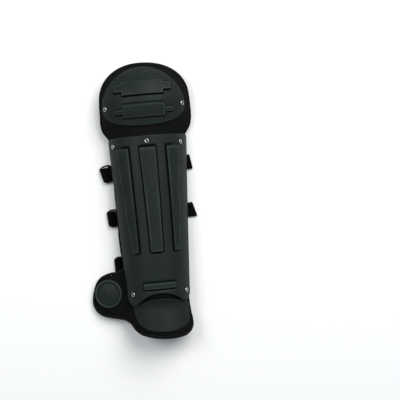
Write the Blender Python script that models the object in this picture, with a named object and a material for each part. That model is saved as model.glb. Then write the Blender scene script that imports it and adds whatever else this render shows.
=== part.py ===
# Guard for the knee, shin and instep, lying on its open back with the knee end towards +Y.
# Lengths are in millimetres up to the function that makes each object, which stores metres.
import math

import bmesh
import bpy
from mathutils import Vector

for old in list(bpy.data.objects):
    bpy.data.objects.remove(old, do_unlink=True)

# Driving sizes
CENTRE_X = -21.2
CENTRE_Y = 29.8
GAP = 0.8
PLATE = 3.0
PAD = 10.0
LOBE_PAD = 8.0
RIB = 3.0
BAND = 3.0
WALL = 1.8
BINDING_WIDTH = 6.0
BINDING_LIP = 0.6
WEBBING_WIDTH = 30.0
WEBBING = 2.0
WIRE = 1.6
DISC_RADIUS = 29.6
DISC_SPOT = (-102.4, -152.2)
PIVOT = 30.0
SEAM = 0.3
LEFT, RIGHT = -1, 1

# Height of the pad's crest over the floor along the guard
CREST = [
    (-250, 76), (-230, 72.5), (-212, 67.5), (-196, 62.5), (-184, 60), (-172, 61.5),
    (-160, 66), (-148, 69), (-120, 69.5), (0, 69.8), (150, 70), (170, 70.8), (190, 74.5),
    (210, 79), (230, 81), (248, 79.2), (264, 74), (280, 64.8), (294, 52.7), (310, 37),
]
SHIN_CREST = [(-178, 69.1), (155, 70.1)]
# Radius of the pad's outer face along the guard, on each side of the crest
RADIUS = {
    LEFT: [
        (-250, 75), (-205, 75), (-185, 70), (-168, 67), (-110, 70), (-50, 72.2), (20, 74.2),
        (155, 78.2), (160, 78.9), (173, 93.5), (187, 98.5), (212, 99.5), (310, 98),
    ],
    RIGHT: [
        (-250, 75), (-205, 75), (-185, 69), (-168, 64.2), (155, 84.3), (160, 85), (173, 101),
        (187, 105.5), (212, 107), (310, 105),
    ],
}
SHIN_RADIUS = {LEFT: [(-178, 67.5), (155, 78.4)], RIGHT: [(-178, 63.6), (155, 84.4)]}
LOBE_TURN = [(-250, 53), (-200, 53), (-180, 62), (-160, 68), (-100, 68)]
LOBE_HEIGHT = 29.0
LOBE_SLOPE = math.tan(math.radians(14.9))

# Outline of the pad, counter-clockwise from the outer side of the foot: distance from the crest line,
# then distance round the surface, then turn from the crest, then what is seen from above for the ankle lobe
FOOT_EDGE = [
    (-65.4, -211.9), (-61.2, -220.6), (-54.4, -229.9), (-47.2, -235.8), (-39.7, -239.4), (-24.5, -243.5),
    (-9, -245.9), (6.9, -247.3), (23.2, -247.5), (36, -247), (46, -245.4), (54, -241.4), (60.3, -235.2),
    (64, -225.5), (63.8, -213.5), (62.2, -203), (61.4, -193),
]
HEEL_EDGE = [(75.2, -182), (79.5, -171), (84.5, -160.5), (87.5, -148)]
RIGHT_TURN = [(-97, 77.3), (-40, 75.2), (0, 73.9), (20, 73.2), (80, 71.5), (110, 70.6), (140, 71.0), (152, 71.4)]
KNEE_RIGHT = [(81, 160), (85, 165), (90, 171.5), (93.8, 180), (95.6, 190), (96.5, 202), (96.3, 216)]
KNEE_MIDDLE = (-2.0, 232.0)
KNEE_HEIGHT = 77.6
KNEE_HALF = {LEFT: 87.3, RIGHT: 97.6}
KNEE_POWER = {LEFT: 0.93, RIGHT: 0.889}
KNEE_LEFT = [(-89.8, 216), (-90.4, 202), (-90.4, 188), (-88.6, 178), (-84.6, 170), (-79.5, 164), (-76.3, 159)]
LEFT_TURN = [
    (150, 75.5), (135, 75.4), (112, 75), (87, 74.5), (64, 76.3), (45, 77.8), (22, 77.5), (0, 77), (-22, 78.8),
    (-38, 81.6), (-62, 81.8), (-77, 79.6),
]
NOTCH_EDGE = [(-96.5, -86), (-92.6, -94.5), (-88.5, -101.5)]
LOBE_EDGE = [
    (-84.5, -108.4), (-93.5, -109.2), (-105.3, -111.7), (-118.5, -117.7), (-127.2, -127.3), (-132, -137.3),
    (-135.5, -147.2), (-137.8, -157.2), (-138.7, -167.2), (-137, -177.5), (-132, -187.8), (-124.2, -194.9),
    (-116.2, -198.7), (-108, -201.1), (-100, -202.9), (-91.8, -204.2), (-83.6, -206), (-75.6, -207.6),
]
# Cuts that part the pad's solid into lengths, and the one along the guard that parts off the ankle lobe
KNEE_CUT, SHIN_CUT, FOOT_CUT = 160.0, 22.0, -104.0
LOBE_CUT = -84.5

# Knee plate, shin plate and instep plate
KNEE_PLATE_HALF = 83.3
KNEE_PLATE_MIDDLE = 220.0
KNEE_PLATE_TOP = (76.0, 2 / 1.87)
KNEE_PLATE_BOTTOM = (40.0, 2 / 2.4)
KNEE_BANDS = ((196, 203.6, 214.5, 223.2), (239, 246.2, 262.2, 266.8))
BAND_HALF = 42.0
TAB_HALF = 57.0
SHIN_SIDE = {LEFT: [(-150, 65), (150, 76.9)], RIGHT: [(-150, 62.4), (150, 82.5)]}
SHIN_TOP = 159.3
SHIN_ARCH = [
    (0, -156.5), (10, -157.2), (20, -159.4), (28, -162.5), (36, -167), (43.3, -172.6), (48, -176.6),
    (51.5, -178.6), (55.5, -178.1), (59, -175.4), (62, -170.8), (64, -165), (64.7, -158),
]
RIB_TOP = 138.0
RIB_BOTTOM = -75.0
MIDDLE_RIB = (17.0, 13.0)
SIDE_RIB = ((36.7, 34.0), (63.6, 48.3))
CROSS_BAND = (-148.5, -134.0)
CROSS_HALF = 33.0
INSTEP_PLATE = [
    (3.9, -233.7), (19, -233.2), (33.3, -230.6), (45, -226), (52.7, -218.5), (56.5, -208), (57, -196), (56.4, -183),
    (54.4, -178.6), (50, -176.8), (38, -172.8), (20, -169.2), (0, -168), (-20, -169.2), (-38, -172.8), (-49, -176.8),
    (-53.2, -178.6), (-54.8, -183), (-54.1, -193.7), (-51.5, -205.6), (-46.7, -216.1), (-37.3, -224.3),
    (-24.9, -229.8), (-10.7, -232.6),
]

# name, place of the ring along the guard, its outer bar, its turn, then the inner fold's place, reach and turn.
# The lower one has no loose fold: it goes straight from the floor up the inner face of the pad.
STRAPS = (
    ("upper", 88.5, -94.4, 14.5, 102.0, 87.2, 9.0),
    ("middle", -0.8, -89.4, 4.5, 4.6, 86.4, 15.0),
    ("lower", -97.0, -83.2, 0.7, -97.0, 0.0, 0.0),
)
BAR_HEIGHT = 7.4
RING_ACROSS = 18.5
RING_LONG = 40.0


def ease(low, high, value):
    """0 at low, 1 at high, with a smooth change between them."""
    t = min(1.0, max(0.0, (value - low) / (high - low)))
    return t * t * (3 - 2 * t)


def straight(rows, y):
    """Straight-line reading of a table of two rows, also beyond its ends."""
    (y0, v0), (y1, v1) = rows
    return v0 + (v1 - v0) * (y - y0) / (y1 - y0)


def curve(rows, y):
    """Smooth reading of a table, level beyond its ends."""
    if y <= rows[0][0]:
        return rows[0][1]
    if y >= rows[-1][0]:
        return rows[-1][1]
    last = len(rows) - 1
    i = 0
    while y > rows[i + 1][0]:
        i += 1
    slopes = []
    for k in (i, i + 1):
        a = rows[max(k - 1, 0)]
        b = rows[min(k + 1, last)]
        slopes.append((b[1] - a[1]) / (b[0] - a[0]))
    (y0, v0), (y1, v1) = rows[i], rows[i + 1]
    width = y1 - y0
    t = (y - y0) / width
    held = v0 * (1 + 2 * t) * (1 - t) ** 2 + v1 * t * t * (3 - 2 * t)
    return held + width * (slopes[0] * t * (1 - t) ** 2 - slopes[1] * t * t * (1 - t))


def radius(y, plate, place):
    """Radius on the side that place lies on: -X for a negative one."""
    side = LEFT if place < 0 else RIGHT
    return straight(SHIN_RADIUS[side], y) if plate else curve(RADIUS[side], y)


def crest(y, plate):
    return straight(SHIN_CREST, y) if plate else curve(CREST, y)


def roll(y):
    """The guard leans on its ankle lobe, which lifts its outer side."""
    return math.radians(6 - 3 * ease(-20, 200, y))


def lobe_share(y):
    return ease(-94, -102, y) * ease(-217, -210, y)


def smooth_max(a, b, reach):
    return max(a, b) + max(reach - abs(a - b), 0.0) ** 2 / (4 * reach)


def arc(s, y, plate):
    """Point of the rolled half-round surface at the distance s round it from the crest."""
    r = radius(y, plate, s)
    x = r * math.sin(s / r)
    z = crest(y, plate) - r * (1 - math.cos(s / r)) - PIVOT
    lean = roll(y)
    return x * math.cos(lean) + z * math.sin(lean), PIVOT + z * math.cos(lean) - x * math.sin(lean)


def surface(s, y, plate):
    """Outer face of the pad. The shin plate has its own, which stays straight over the ankle."""
    x, z = arc(s, y, plate)
    share = 0.0 if plate else lobe_share(y)
    if share > 0:
        turn = math.radians(curve(LOBE_TURN, y))
        start = radius(y, plate, LEFT) * turn
        if -s > start:
            x1, z1 = arc(-start, y, plate)
            xl = x1 - (-s - start) * 0.97
            zl = z1 - (x1 - xl) * math.tan(turn - roll(y))
            zl = smooth_max(zl, LOBE_HEIGHT + (xl + 64) * LOBE_SLOPE, 8.0)
            x += (xl - x) * share
            z += (zl - z) * share
    return Vector((x, y, z))


def normal(s, y, plate):
    e = 0.4
    along_s = surface(s + e, y, plate) - surface(s - e, y, plate)
    along_y = surface(s, y + e, plate) - surface(s, y - e, plate)
    return along_s.cross(along_y).normalized()


def skin(s, y, h, plate=False):
    return surface(s, y, plate) + normal(s, y, plate) * h


def round_from(x, y, h, plate=False):
    """Distance round the surface of what lies x to the side of the crest line, h over the surface."""
    r = radius(y, plate, x)
    return r * math.asin(max(-1.0, min(1.0, x / (r + h))))


def round_from_above(x, y):
    """Distance round the pad of what is seen at x from above, on the outer side."""
    low, high = -190.0, 0.0
    for _ in range(40):
        middle = (low + high) / 2
        if surface(middle, y, False).x < x:
            low = middle
        else:
            high = middle
    return (low + high) / 2


def spline(points, step, closed=True):
    """Points about step apart on a smooth curve through the given ones."""
    found = []
    count = len(points)
    spans = count if closed else count - 1
    for i in range(spans):
        if closed:
            p = [points[(i + k) % count] for k in (-1, 0, 1, 2)]
        else:
            p = [points[min(max(i + k, 0), count - 1)] for k in (-1, 0, 1, 2)]
        pieces = max(1, round(math.dist(p[1], p[2]) / step))
        for k in range(pieces):
            t = k / pieces
            found.append(tuple(
                0.5 * (2 * b + (c - a) * t + (2 * a - 5 * b + 4 * c - d) * t * t + (3 * b - a - 3 * c + d) * t ** 3)
                for a, b, c, d in zip(*p)
            ))
    if not closed:
        found.append(tuple(points[-1]))
    return found


def thinned(points, tolerance):
    """The same closed outline without the points that lie within tolerance of a straight edge once laid on."""
    laid = [skin(s, y, 0) for s, y in points]

    def keep(a, b):
        first, last = laid[a], laid[b % len(points)]
        edge = (last - first).normalized()
        worst, at = 0.0, None
        for i in range(a + 1, b):
            off = (laid[i] - first).cross(edge).length
            if off > worst:
                worst, at = off, i
        if worst <= tolerance:
            return [a]
        return keep(a, at) + keep(at, b)

    quarter = len(points) // 4
    marks = [0, quarter, 2 * quarter, 3 * quarter, len(points)]
    kept = []
    for a, b in zip(marks, marks[1:]):
        kept += keep(a, b)
    return [points[i] for i in kept]


def inset(points, amount):
    """A counter-clockwise outline moved inwards, with mitred corners."""
    found = []
    count = len(points)
    for i in range(count):
        ax, ay = points[i - 1]
        bx, by = points[i]
        cx, cy = points[(i + 1) % count]
        first = math.hypot(bx - ax, by - ay)
        second = math.hypot(cx - bx, cy - by)
        n1 = (-(by - ay) / first, (bx - ax) / first)
        n2 = (-(cy - by) / second, (cx - bx) / second)
        mx, my = n1[0] + n2[0], n1[1] + n2[1]
        scale = 2 / max(mx * mx + my * my, 1.2)
        found.append((bx + mx * scale * amount, by + my * scale * amount))
    return found


def material(name, colour, metallic, roughness):
    made = bpy.data.materials.new(name)
    made.use_nodes = True
    shader = made.node_tree.nodes["Principled BSDF"]
    shader.inputs["Base Color"].default_value = (*colour, 1)
    shader.inputs["Metallic"].default_value = metallic
    shader.inputs["Roughness"].default_value = roughness
    return made


def finish(name, bm, made_of):
    """Turns the millimetre mesh into an object in metres, centred over the origin."""
    bmesh.ops.recalc_face_normals(bm, faces=bm.faces[:])
    for vert in bm.verts:
        vert.co = (vert.co - Vector((CENTRE_X, CENTRE_Y, 0))) / 1000
    mesh = bpy.data.meshes.new(name)
    bm.to_mesh(mesh)
    bm.free()
    mesh.materials.append(made_of)
    thing = bpy.data.objects.new(name, mesh)
    bpy.context.scene.collection.objects.link(thing)
    return thing


def cut(bm, place, direction, low=-1e9, high=1e9):
    """Splits the flat faces whose middle lies between low and high along the guard."""
    faces = [f for f in bm.faces if low < f.calc_center_median().y < high]
    if not faces:
        return
    geometry = set(faces)
    for face in faces:
        geometry.update(face.edges)
        geometry.update(face.verts)
    bmesh.ops.bisect_plane(
        bm, geom=list(geometry), dist=0.35, plane_co=(*place, 0), plane_no=(*direction, 0)
    )


def line(bm, a, b, low=-1e9, high=1e9):
    cut(bm, a, (b[1] - a[1], a[0] - b[0]), low, high)


def thick(name, bm, top, bottom, plate, made_of):
    """Gives a cut flat outline its two faces and its edge, and lays it on the surface."""
    bmesh.ops.triangulate(bm, faces=bm.faces[:])
    verts = list(bm.verts)
    faces = list(bm.faces)
    edges = [e for e in bm.edges if e.is_boundary]
    under = {v: bm.verts.new(skin(v.co.x, v.co.y, bottom(v.co.x, v.co.y), plate)) for v in verts}
    for face in faces:
        bm.faces.new([under[v] for v in reversed(face.verts)])
    for edge in edges:
        a, b = edge.verts
        bm.faces.new((a, b, under[b], under[a]))
    for vert in verts:
        vert.co = skin(vert.co.x, vert.co.y, top(vert.co.x, vert.co.y), plate)
    return finish(name, bm, made_of)


def flat(points):
    bm = bmesh.new()
    bm.faces.new([bm.verts.new((x, y, 0)) for x, y in points])
    return bm


def swept(name, rings, made_of, closed):
    """Joins rings of equal length into a tube."""
    bm = bmesh.new()
    made = [[bm.verts.new(p) for p in ring] for ring in rings]
    count = len(made[0])
    pairs = list(zip(made, made[1:]))
    if closed:
        pairs.append((made[-1], made[0]))
    else:
        bm.faces.new(made[0])
        bm.faces.new(made[-1])
    for first, second in pairs:
        for i in range(count):
            j = (i + 1) % count
            bm.faces.new((first[i], first[j], second[j], second[i]))
    return finish(name, bm, made_of)


def turned(name, centre, axes, profile, sides, made_of):
    """A round piece from (radius, height) rows, the first and last of which lie on its axis."""
    bm = bmesh.new()
    across, along, up = axes

    def at(r, h, angle):
        return centre + across * (r * math.cos(angle)) + along * (r * math.sin(angle)) + up * h

    first = bm.verts.new(at(0, profile[0][1], 0))
    last = bm.verts.new(at(0, profile[-1][1], 0))
    rings = [
        [bm.verts.new(at(r, h, 2 * math.pi * i / sides)) for i in range(sides)] for r, h in profile[1:-1]
    ]
    for i in range(sides):
        j = (i + 1) % sides
        bm.faces.new((first, rings[0][j], rings[0][i]))
        bm.faces.new((last, rings[-1][i], rings[-1][j]))
        for a, b in zip(rings, rings[1:]):
            bm.faces.new((a[i], a[j], b[j], b[i]))
    return finish(name, bm, made_of)


def axes_at(s, y, plate=False):
    up = normal(s, y, plate)
    across = Vector((0, 1, 0)).cross(up).normalized()
    return across, up.cross(across).normalized(), up


def turned_edge(rows, side):
    return [(side * radius(y, False, side) * math.radians(angle), y) for y, angle in rows]


def pad_outline():
    """The pad's outline as (distance round the surface, place along the guard), counter-clockwise."""
    found = [(round_from(x, y, 0), y) for x, y in FOOT_EDGE] + HEEL_EDGE
    found += turned_edge(RIGHT_TURN, RIGHT)
    found += [(round_from(x, y, 0), y) for x, y in KNEE_RIGHT]
    for k in range(19):
        c, d = math.cos(math.radians(10 * k)), math.sin(math.radians(10 * k))
        side = LEFT if c < 0 else RIGHT
        x = KNEE_MIDDLE[0] + side * KNEE_HALF[side] * abs(c) ** KNEE_POWER[side]
        y = KNEE_MIDDLE[1] + KNEE_HEIGHT * abs(d) ** KNEE_POWER[side]
        found.append((round_from(x, y, 0), y))
    found += [(round_from(x, y, 0), y) for x, y in KNEE_LEFT]
    found += turned_edge(LEFT_TURN, LEFT) + NOTCH_EDGE
    return found + [(round_from_above(x, y), y) for x, y in LOBE_EDGE]


def pad_thickness(s, y):
    return PAD - (PAD - LOBE_PAD) * ease(84, 96, -s) * lobe_share(y)


def trimmed(bm, place, kept_side, across):
    """Cuts a flat sheet along one line and drops what lies beyond it."""
    direction = (1, 0, 0) if across else (0, 1, 0)
    bmesh.ops.bisect_plane(
        bm, geom=bm.verts[:] + bm.edges[:] + bm.faces[:], dist=1e-5,
        plane_co=tuple((place + kept_side * SEAM / 2) * k for k in direction),
        plane_no=direction, clear_inner=kept_side > 0, clear_outer=kept_side < 0,
    )


def build_pad(outline, cloth, tape):
    """One pad, whose solid is parted by narrow seams so that each length keeps a close collision shape."""
    inner = inset(outline, BINDING_WIDTH + 0.9)
    lengths = (
        ("pad_knee", KNEE_CUT, None, ()),
        ("pad_shin_upper", SHIN_CUT, KNEE_CUT, ()),
        ("pad_shin_lower", FOOT_CUT, SHIN_CUT, ()),
        ("pad_foot", None, FOOT_CUT, (1,)),
        ("pad_lobe", None, FOOT_CUT, (-1,)),
    )
    for name, low, high, sides in lengths:
        bm = flat(inner)
        if low is not None:
            trimmed(bm, low, 1, False)
        if high is not None:
            trimmed(bm, high, -1, False)
        for side in sides:
            trimmed(bm, LOBE_CUT, side, True)
        for y in (-228, -210, -198, -188, -183, -178, -173, -168, -163, -158, -146, -125, -94, -50, 60, 95, 130, 153,
                  168, 177, 188, 202, 216, 230, 243, 256, 267, 277, 286, 294):
            cut(bm, (0, y), (0, 1))
        for s in (-120, -98, -90, -78, -70, -56, -42, -28, -14, 0, 14, 28, 42, 56, 70, 84, 104):
            cut(bm, (s, 0), (1, 0))
        thick(name, bm, lambda s, y: 0.0, lambda s, y: -pad_thickness(s, y), False, cloth)

    steps = ((0.0, -2.2), (1.6, BINDING_LIP), (BINDING_WIDTH, BINDING_LIP))
    rings = []
    paths = [(inset(outline, depth), high) for depth, high in steps]
    for i in range(len(outline)):
        ring = []
        for path, high in paths:
            s, y = path[i]
            ring.append(skin(s, y, high))
        for path, high in reversed(paths):
            s, y = path[i]
            ring.append(skin(s, y, -pad_thickness(*outline[i]) - high))
        rings.append(ring)
    swept("pad_binding", rings, tape, True)


def knee_outline():
    points = []
    for k in range(32):
        angle = 2 * math.pi * k / 32
        c, d = math.cos(angle), math.sin(angle)
        height, power = KNEE_PLATE_TOP if d > 0 else KNEE_PLATE_BOTTOM
        x = KNEE_PLATE_HALF * math.copysign(abs(c) ** power, c)
        y = KNEE_PLATE_MIDDLE + height * math.copysign(abs(d) ** power, d)
        points.append((round_from(x, y, GAP + PLATE), y))
    return points


def build_knee(plastic):
    bm = flat(knee_outline())
    for y0, y1, y2, y3 in KNEE_BANDS:
        for y in (y0, y0 + WALL, y1, y1 + WALL, y2 - WALL, y2, y3 - WALL, y3):
            cut(bm, (0, y), (0, 1))
    for y in (188, 231, 280, 288):
        cut(bm, (0, y), (0, 1))
    for x in (BAND_HALF, BAND_HALF - WALL, TAB_HALF, TAB_HALF - WALL):
        for side in (LEFT, RIGHT):
            s = round_from(side * x, 230, GAP + PLATE)
            for y0, _, _, y3 in KNEE_BANDS:
                cut(bm, (s, 0), (1, 0), y0, y3)
    for s in (-92, -78, -28, -14, 0, 14, 28, 78, 92):
        cut(bm, (s, 0), (1, 0))
    for s in (-60, -43, 43, 60):
        for low, high in ((170, KNEE_BANDS[0][0]), (KNEE_BANDS[0][3], KNEE_BANDS[1][0]), (KNEE_BANDS[1][3], 300)):
            cut(bm, (s, 0), (1, 0), low, high)

    def top(s, y):
        side = LEFT if s < 0 else RIGHT
        band_end = abs(round_from(side * (BAND_HALF - WALL), 230, GAP + PLATE)) + 0.3
        tab_end = abs(round_from(side * (TAB_HALF - WALL), 230, GAP + PLATE)) + 0.3
        for y0, y1, y2, y3 in KNEE_BANDS:
            in_band = abs(s) < band_end and y0 + WALL - 0.3 < y < y3 - WALL + 0.3
            in_tab = abs(s) < tab_end and y1 + WALL - 0.3 < y < y2 - WALL + 0.3
            if in_band or in_tab:
                return GAP + PLATE + BAND
        return GAP + PLATE

    thick("knee_plate", bm, top, lambda s, y: GAP, False, plastic)


def shin_outline():
    """Right half from the arch up to the top edge, then the left half back down."""
    found = []
    for side in (RIGHT, LEFT):
        low, high = SHIN_SIDE[side][0][1], SHIN_SIDE[side][1][1]
        points = []
        for x, y in SHIN_ARCH:
            narrow = 1 + (low / SHIN_ARCH[-1][0] - 1) * ease(30, 64, x)
            lift = 3.5 * ease(40, 56, x) * ease(-150, -165, y) if side == RIGHT else 0
            points.append((x * narrow, y + lift))
        points += [(low, -150), ((low + high) / 2, 0), (high, 150), (high, 155.5), (high - 1.6, 158)]
        points += [(high - 4.4, SHIN_TOP)]
        half = [(round_from(side * x, y, GAP + PLATE, True), y) for x, y in points]
        found += half if side == RIGHT else [(0, SHIN_TOP)] + half[:0:-1]
    return found


def rib_lines():
    """(s at the rib top, s at the rib bottom) of each rib edge on the +X side, and which way is inside."""
    found = []
    for (x_top, x_bottom), inside in ((MIDDLE_RIB, -1), (SIDE_RIB[0], 1), (SIDE_RIB[1], -1)):
        found.append((
            round_from(x_top, RIB_TOP, GAP + PLATE, True),
            round_from(x_bottom, RIB_BOTTOM, GAP + PLATE, True),
            inside,
        ))
    return found


def build_shin(plastic):
    bm = flat(shin_outline())
    for y in (RIB_TOP, RIB_TOP - WALL, RIB_BOTTOM, RIB_BOTTOM + WALL):
        cut(bm, (0, y), (0, 1))
    for y in (CROSS_BAND[0], CROSS_BAND[0] + WALL, CROSS_BAND[1] - WALL, CROSS_BAND[1]):
        cut(bm, (0, y), (0, 1))
    for y in (90, 40, -10, -40, -105):
        cut(bm, (0, y), (0, 1))
    lines = rib_lines()
    for a, b, inside in lines:
        for shift in (0, inside * WALL):
            for side in (-1, 1):
                line(bm, (side * (a + shift), RIB_TOP), (side * (b + shift), RIB_BOTTOM), RIB_BOTTOM, RIB_TOP)
    cross = round_from(CROSS_HALF, -142, GAP + PLATE, True)
    for shift in (0, -WALL):
        for side in (-1, 1):
            cut(bm, (side * (cross + shift), 0), (1, 0), *CROSS_BAND)
    cut(bm, (0, 0), (1, 0))
    for s in (13, 29, 45, 58, 70):
        for side in (-1, 1):
            cut(bm, (side * s, 0), (1, 0), RIB_TOP, 200)
            cut(bm, (side * s, 0), (1, 0), CROSS_BAND[1], RIB_BOTTOM)
            cut(bm, (side * s, 0), (1, 0), -200, CROSS_BAND[0])
    for s in (15, 48, 62):
        for side in (-1, 1):
            cut(bm, (side * s, 0), (1, 0), *CROSS_BAND)
    for a, b in ((9, 6), (29, 24), (49, 42), (57, 47), (86, 68)):
        for side in (-1, 1):
            line(bm, (side * a, RIB_TOP), (side * b, RIB_BOTTOM), RIB_BOTTOM, RIB_TOP)

    def on_rib(s, y):
        t = (RIB_TOP - y) / (RIB_TOP - RIB_BOTTOM)
        places = [a + (b - a) * t + inside * WALL for a, b, inside in lines]
        along = RIB_BOTTOM + WALL - 0.3 < y < RIB_TOP - WALL + 0.3
        return along and (abs(s) < places[0] + 0.3 or places[1] - 0.3 < abs(s) < places[2] + 0.3)

    def top(s, y):
        in_cross = abs(s) < cross - WALL + 0.3 and CROSS_BAND[0] + WALL - 0.3 < y < CROSS_BAND[1] - WALL + 0.3
        return GAP + PLATE + (RIB if on_rib(s, y) or in_cross else 0)

    thick("shin_plate", bm, top, lambda s, y: GAP, True, plastic)


def build_instep(plastic):
    bm = flat([(round_from(x, y, GAP + PLATE), y) for x, y in INSTEP_PLATE])
    for y in (-226, -214, -205, -196, -188, -182, -176):
        cut(bm, (0, y), (0, 1))
    for s in (-50, -38, -26, -13, 0, 13, 26, 38, 50):
        cut(bm, (s, 0), (1, 0))
    thick("instep_plate", bm, lambda s, y: GAP + 2.6, lambda s, y: GAP, False, plastic)


def build_disc(plastic):
    x, y = DISC_SPOT
    s = round_from_above(x, y)
    across, along, up = axes_at(s, y)
    profile = [
        (0, 1.0), (DISC_RADIUS - 1, 1.0), (DISC_RADIUS, 1.9), (DISC_RADIUS, 3.9), (DISC_RADIUS - 1.3, 5.7),
        (DISC_RADIUS - 3.7, 6.5), (DISC_RADIUS - 5.9, 5.9), (DISC_RADIUS - 7.3, 4.1), (17.4, 5.2), (9.5, 6.1), (0, 6.5),
    ]
    turned("ankle_disc", surface(s, y, False), (across, along, up), profile, 28, plastic)


def build_rivet(name, x, y, plate, nickel):
    s = round_from(x, y, GAP + PLATE, plate)
    profile = [(0, 0), (4.4, 0), (4.8, 0.5), (4.1, 1.5), (2.4, 2.05), (0, 2.25)]
    centre = skin(s, y, GAP + PLATE + 0.3, plate)
    turned(name, centre, axes_at(s, y, plate), profile, 12, nickel)


def build_ribbon(name, centre_line, y_at, turn_at, made_of):
    """Webbing that follows a line of (x, z) points, with y_at(x) as its middle and turn_at(x, z) as its turn."""
    half = WEBBING / 2
    near, far = [], []
    count = len(centre_line)
    for i, (x, z) in enumerate(centre_line):
        ax, az = centre_line[max(i - 1, 0)]
        bx, bz = centre_line[min(i + 1, count - 1)]
        length = math.hypot(bx - ax, bz - az)
        nx, nz = -(bz - az) / length, (bx - ax) / length
        near.append((x + nx * half, z + nz * half))
        far.append((x - nx * half, z - nz * half))
    loop = near + far[::-1]
    bm = bmesh.new()
    sides = []
    for side in (-1, 1):
        made = []
        for x, z in loop:
            reach, turn = side * WEBBING_WIDTH / 2, turn_at(x, z)
            made.append(bm.verts.new((x - reach * math.sin(turn), y_at(x) + reach * math.cos(turn), z)))
        sides.append(made)
    for i in range(len(loop)):
        j = (i + 1) % len(loop)
        bm.faces.new((sides[0][i], sides[0][j], sides[1][j], sides[1][i]))
    for side in sides:
        for i in range(count - 1):
            k = len(loop) - 1 - i
            bm.faces.new((side[i], side[i + 1], side[k - 1], side[k]))
    return finish(name, bm, made_of)


def arc_points(cx, cz, r, start, end, count):
    return [
        (cx + r * math.cos(math.radians(start + (end - start) * k / count)),
         cz + r * math.sin(math.radians(start + (end - start) * k / count)))
        for k in range(count + 1)
    ]


def inner_wall(y, angle):
    """Point on the inner face of the pad, as (x, z), at an angle round from the crest."""
    s = radius(y, False, angle) * math.radians(angle)
    place = skin(s, y, -PAD - 1.9 - WEBBING / 2)
    return place.x, place.z


def build_strap(name, y_ring, bar, ring_turn, y_fold, reach, fold_turn, webbing, metal):
    at_ring, at_fold = math.radians(ring_turn), math.radians(fold_turn)
    slope = (y_fold - y_ring) / (80 - bar)

    def y_at(x):
        return y_ring + slope * (x - bar)

    def turn_at(x, z):
        if x < 0:
            return at_ring * ease(0, bar + 22, x)
        return at_fold * ease(20, reach - 12, x) * ease(6.5, 4.0, z)

    turn = WIRE + 0.3 + WEBBING / 2
    start = [inner_wall(y_fold, 55), inner_wall(y_fold, 61), inner_wall(y_fold, 67)]
    end, high = start[-1]
    if reach:
        line_points = start + [(end + 0.6, max(6.0, high - 4.5)), (end + 2.2, 3.6), (end + 6, 3.4)]
        line_points += [(reach - 12, 3.6), (reach - 5, 4.6), (reach - 1.6, 3.8)]
        line_points += [(reach - 1.4, 2.0), (reach - 5, 1.05), (reach - 14, 1.0)]
    else:
        line_points = start + [(end + 0.6, high - 3.5), (end + 0.8, 7), (end - 0.6, 3.2), (end - 4, 1.4)]
        line_points += [(end - 9, 1.0), (end - 16, 1.0)]
    line_points += [(20, 1.0), (bar + 30, 1.0), (bar + 16, 1.1), (bar + 7, 2.2)]
    line_points += arc_points(bar, BAR_HEIGHT, turn, -75, -285, 8)
    line_points += [(bar + 4.2, 9.6), (bar + 7.8, 7.3), (bar + 12, 5.0)]
    line_points += [(bar + 17, 3.7), (bar + 24, 3.35), (bar + 40, 3.35)]
    dense = spline(line_points, 5.0, closed=False)
    kept = [p for p in dense if not (bar + 44 < p[0] < end - 16 and p[1] < 1.2)]
    build_ribbon(f"strap_{name}", kept, y_at, turn_at, webbing)

    low, high = (bar, BAR_HEIGHT), (bar + RING_ACROSS, BAR_HEIGHT + 1.9)
    rise = math.atan2(high[1] - low[1], high[0] - low[0])
    level = Vector((math.cos(at_ring), math.sin(at_ring), 0))
    across = level * math.cos(rise) + Vector((0, 0, math.sin(rise)))
    along = Vector((-math.sin(at_ring), math.cos(at_ring), 0))
    up = across.cross(along)
    half_x = math.dist(low, high) / 2
    centre = Vector((bar, y_at(bar), BAR_HEIGHT)) + across * half_x
    half_y = RING_LONG / 2 - WIRE
    corner = 4.0
    rings = []
    for sx, sy, begin in ((1, 1, 0), (-1, 1, 90), (-1, -1, 180), (1, -1, 270)):
        for k in range(4):
            angle = math.radians(begin + 30 * k)
            out = across * math.cos(angle) + along * math.sin(angle)
            middle = centre + across * (sx * (half_x - corner)) + along * (sy * (half_y - corner)) + out * corner
            ring = []
            for i in range(6):
                a = math.pi * (2 * i + 1) / 6
                ring.append(middle + (out * math.cos(a) + up * math.sin(a)) * WIRE * 1.08)
            rings.append(ring)
    swept(f"ring_{name}", rings, metal, True)

    inner_bar = centre + across * half_x
    wall = [inner_wall(inner_bar.y, -50), inner_wall(inner_bar.y, -59), inner_wall(inner_bar.y, -67)]
    path = wall + [(wall[-1][0] + 1, 14.6)] + arc_points(inner_bar.x, inner_bar.z, turn + 0.2, 75, 285, 8)
    path += [(inner_bar.x + 6, inner_bar.z - 2.6)]
    loose = wall[1][0]

    def tab_turn(x, z):
        return at_ring * ease(loose, inner_bar.x + 6, x)

    build_ribbon(f"tab_{name}", spline(path, 6.0, closed=False), lambda x: inner_bar.y, tab_turn, webbing)


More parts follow.
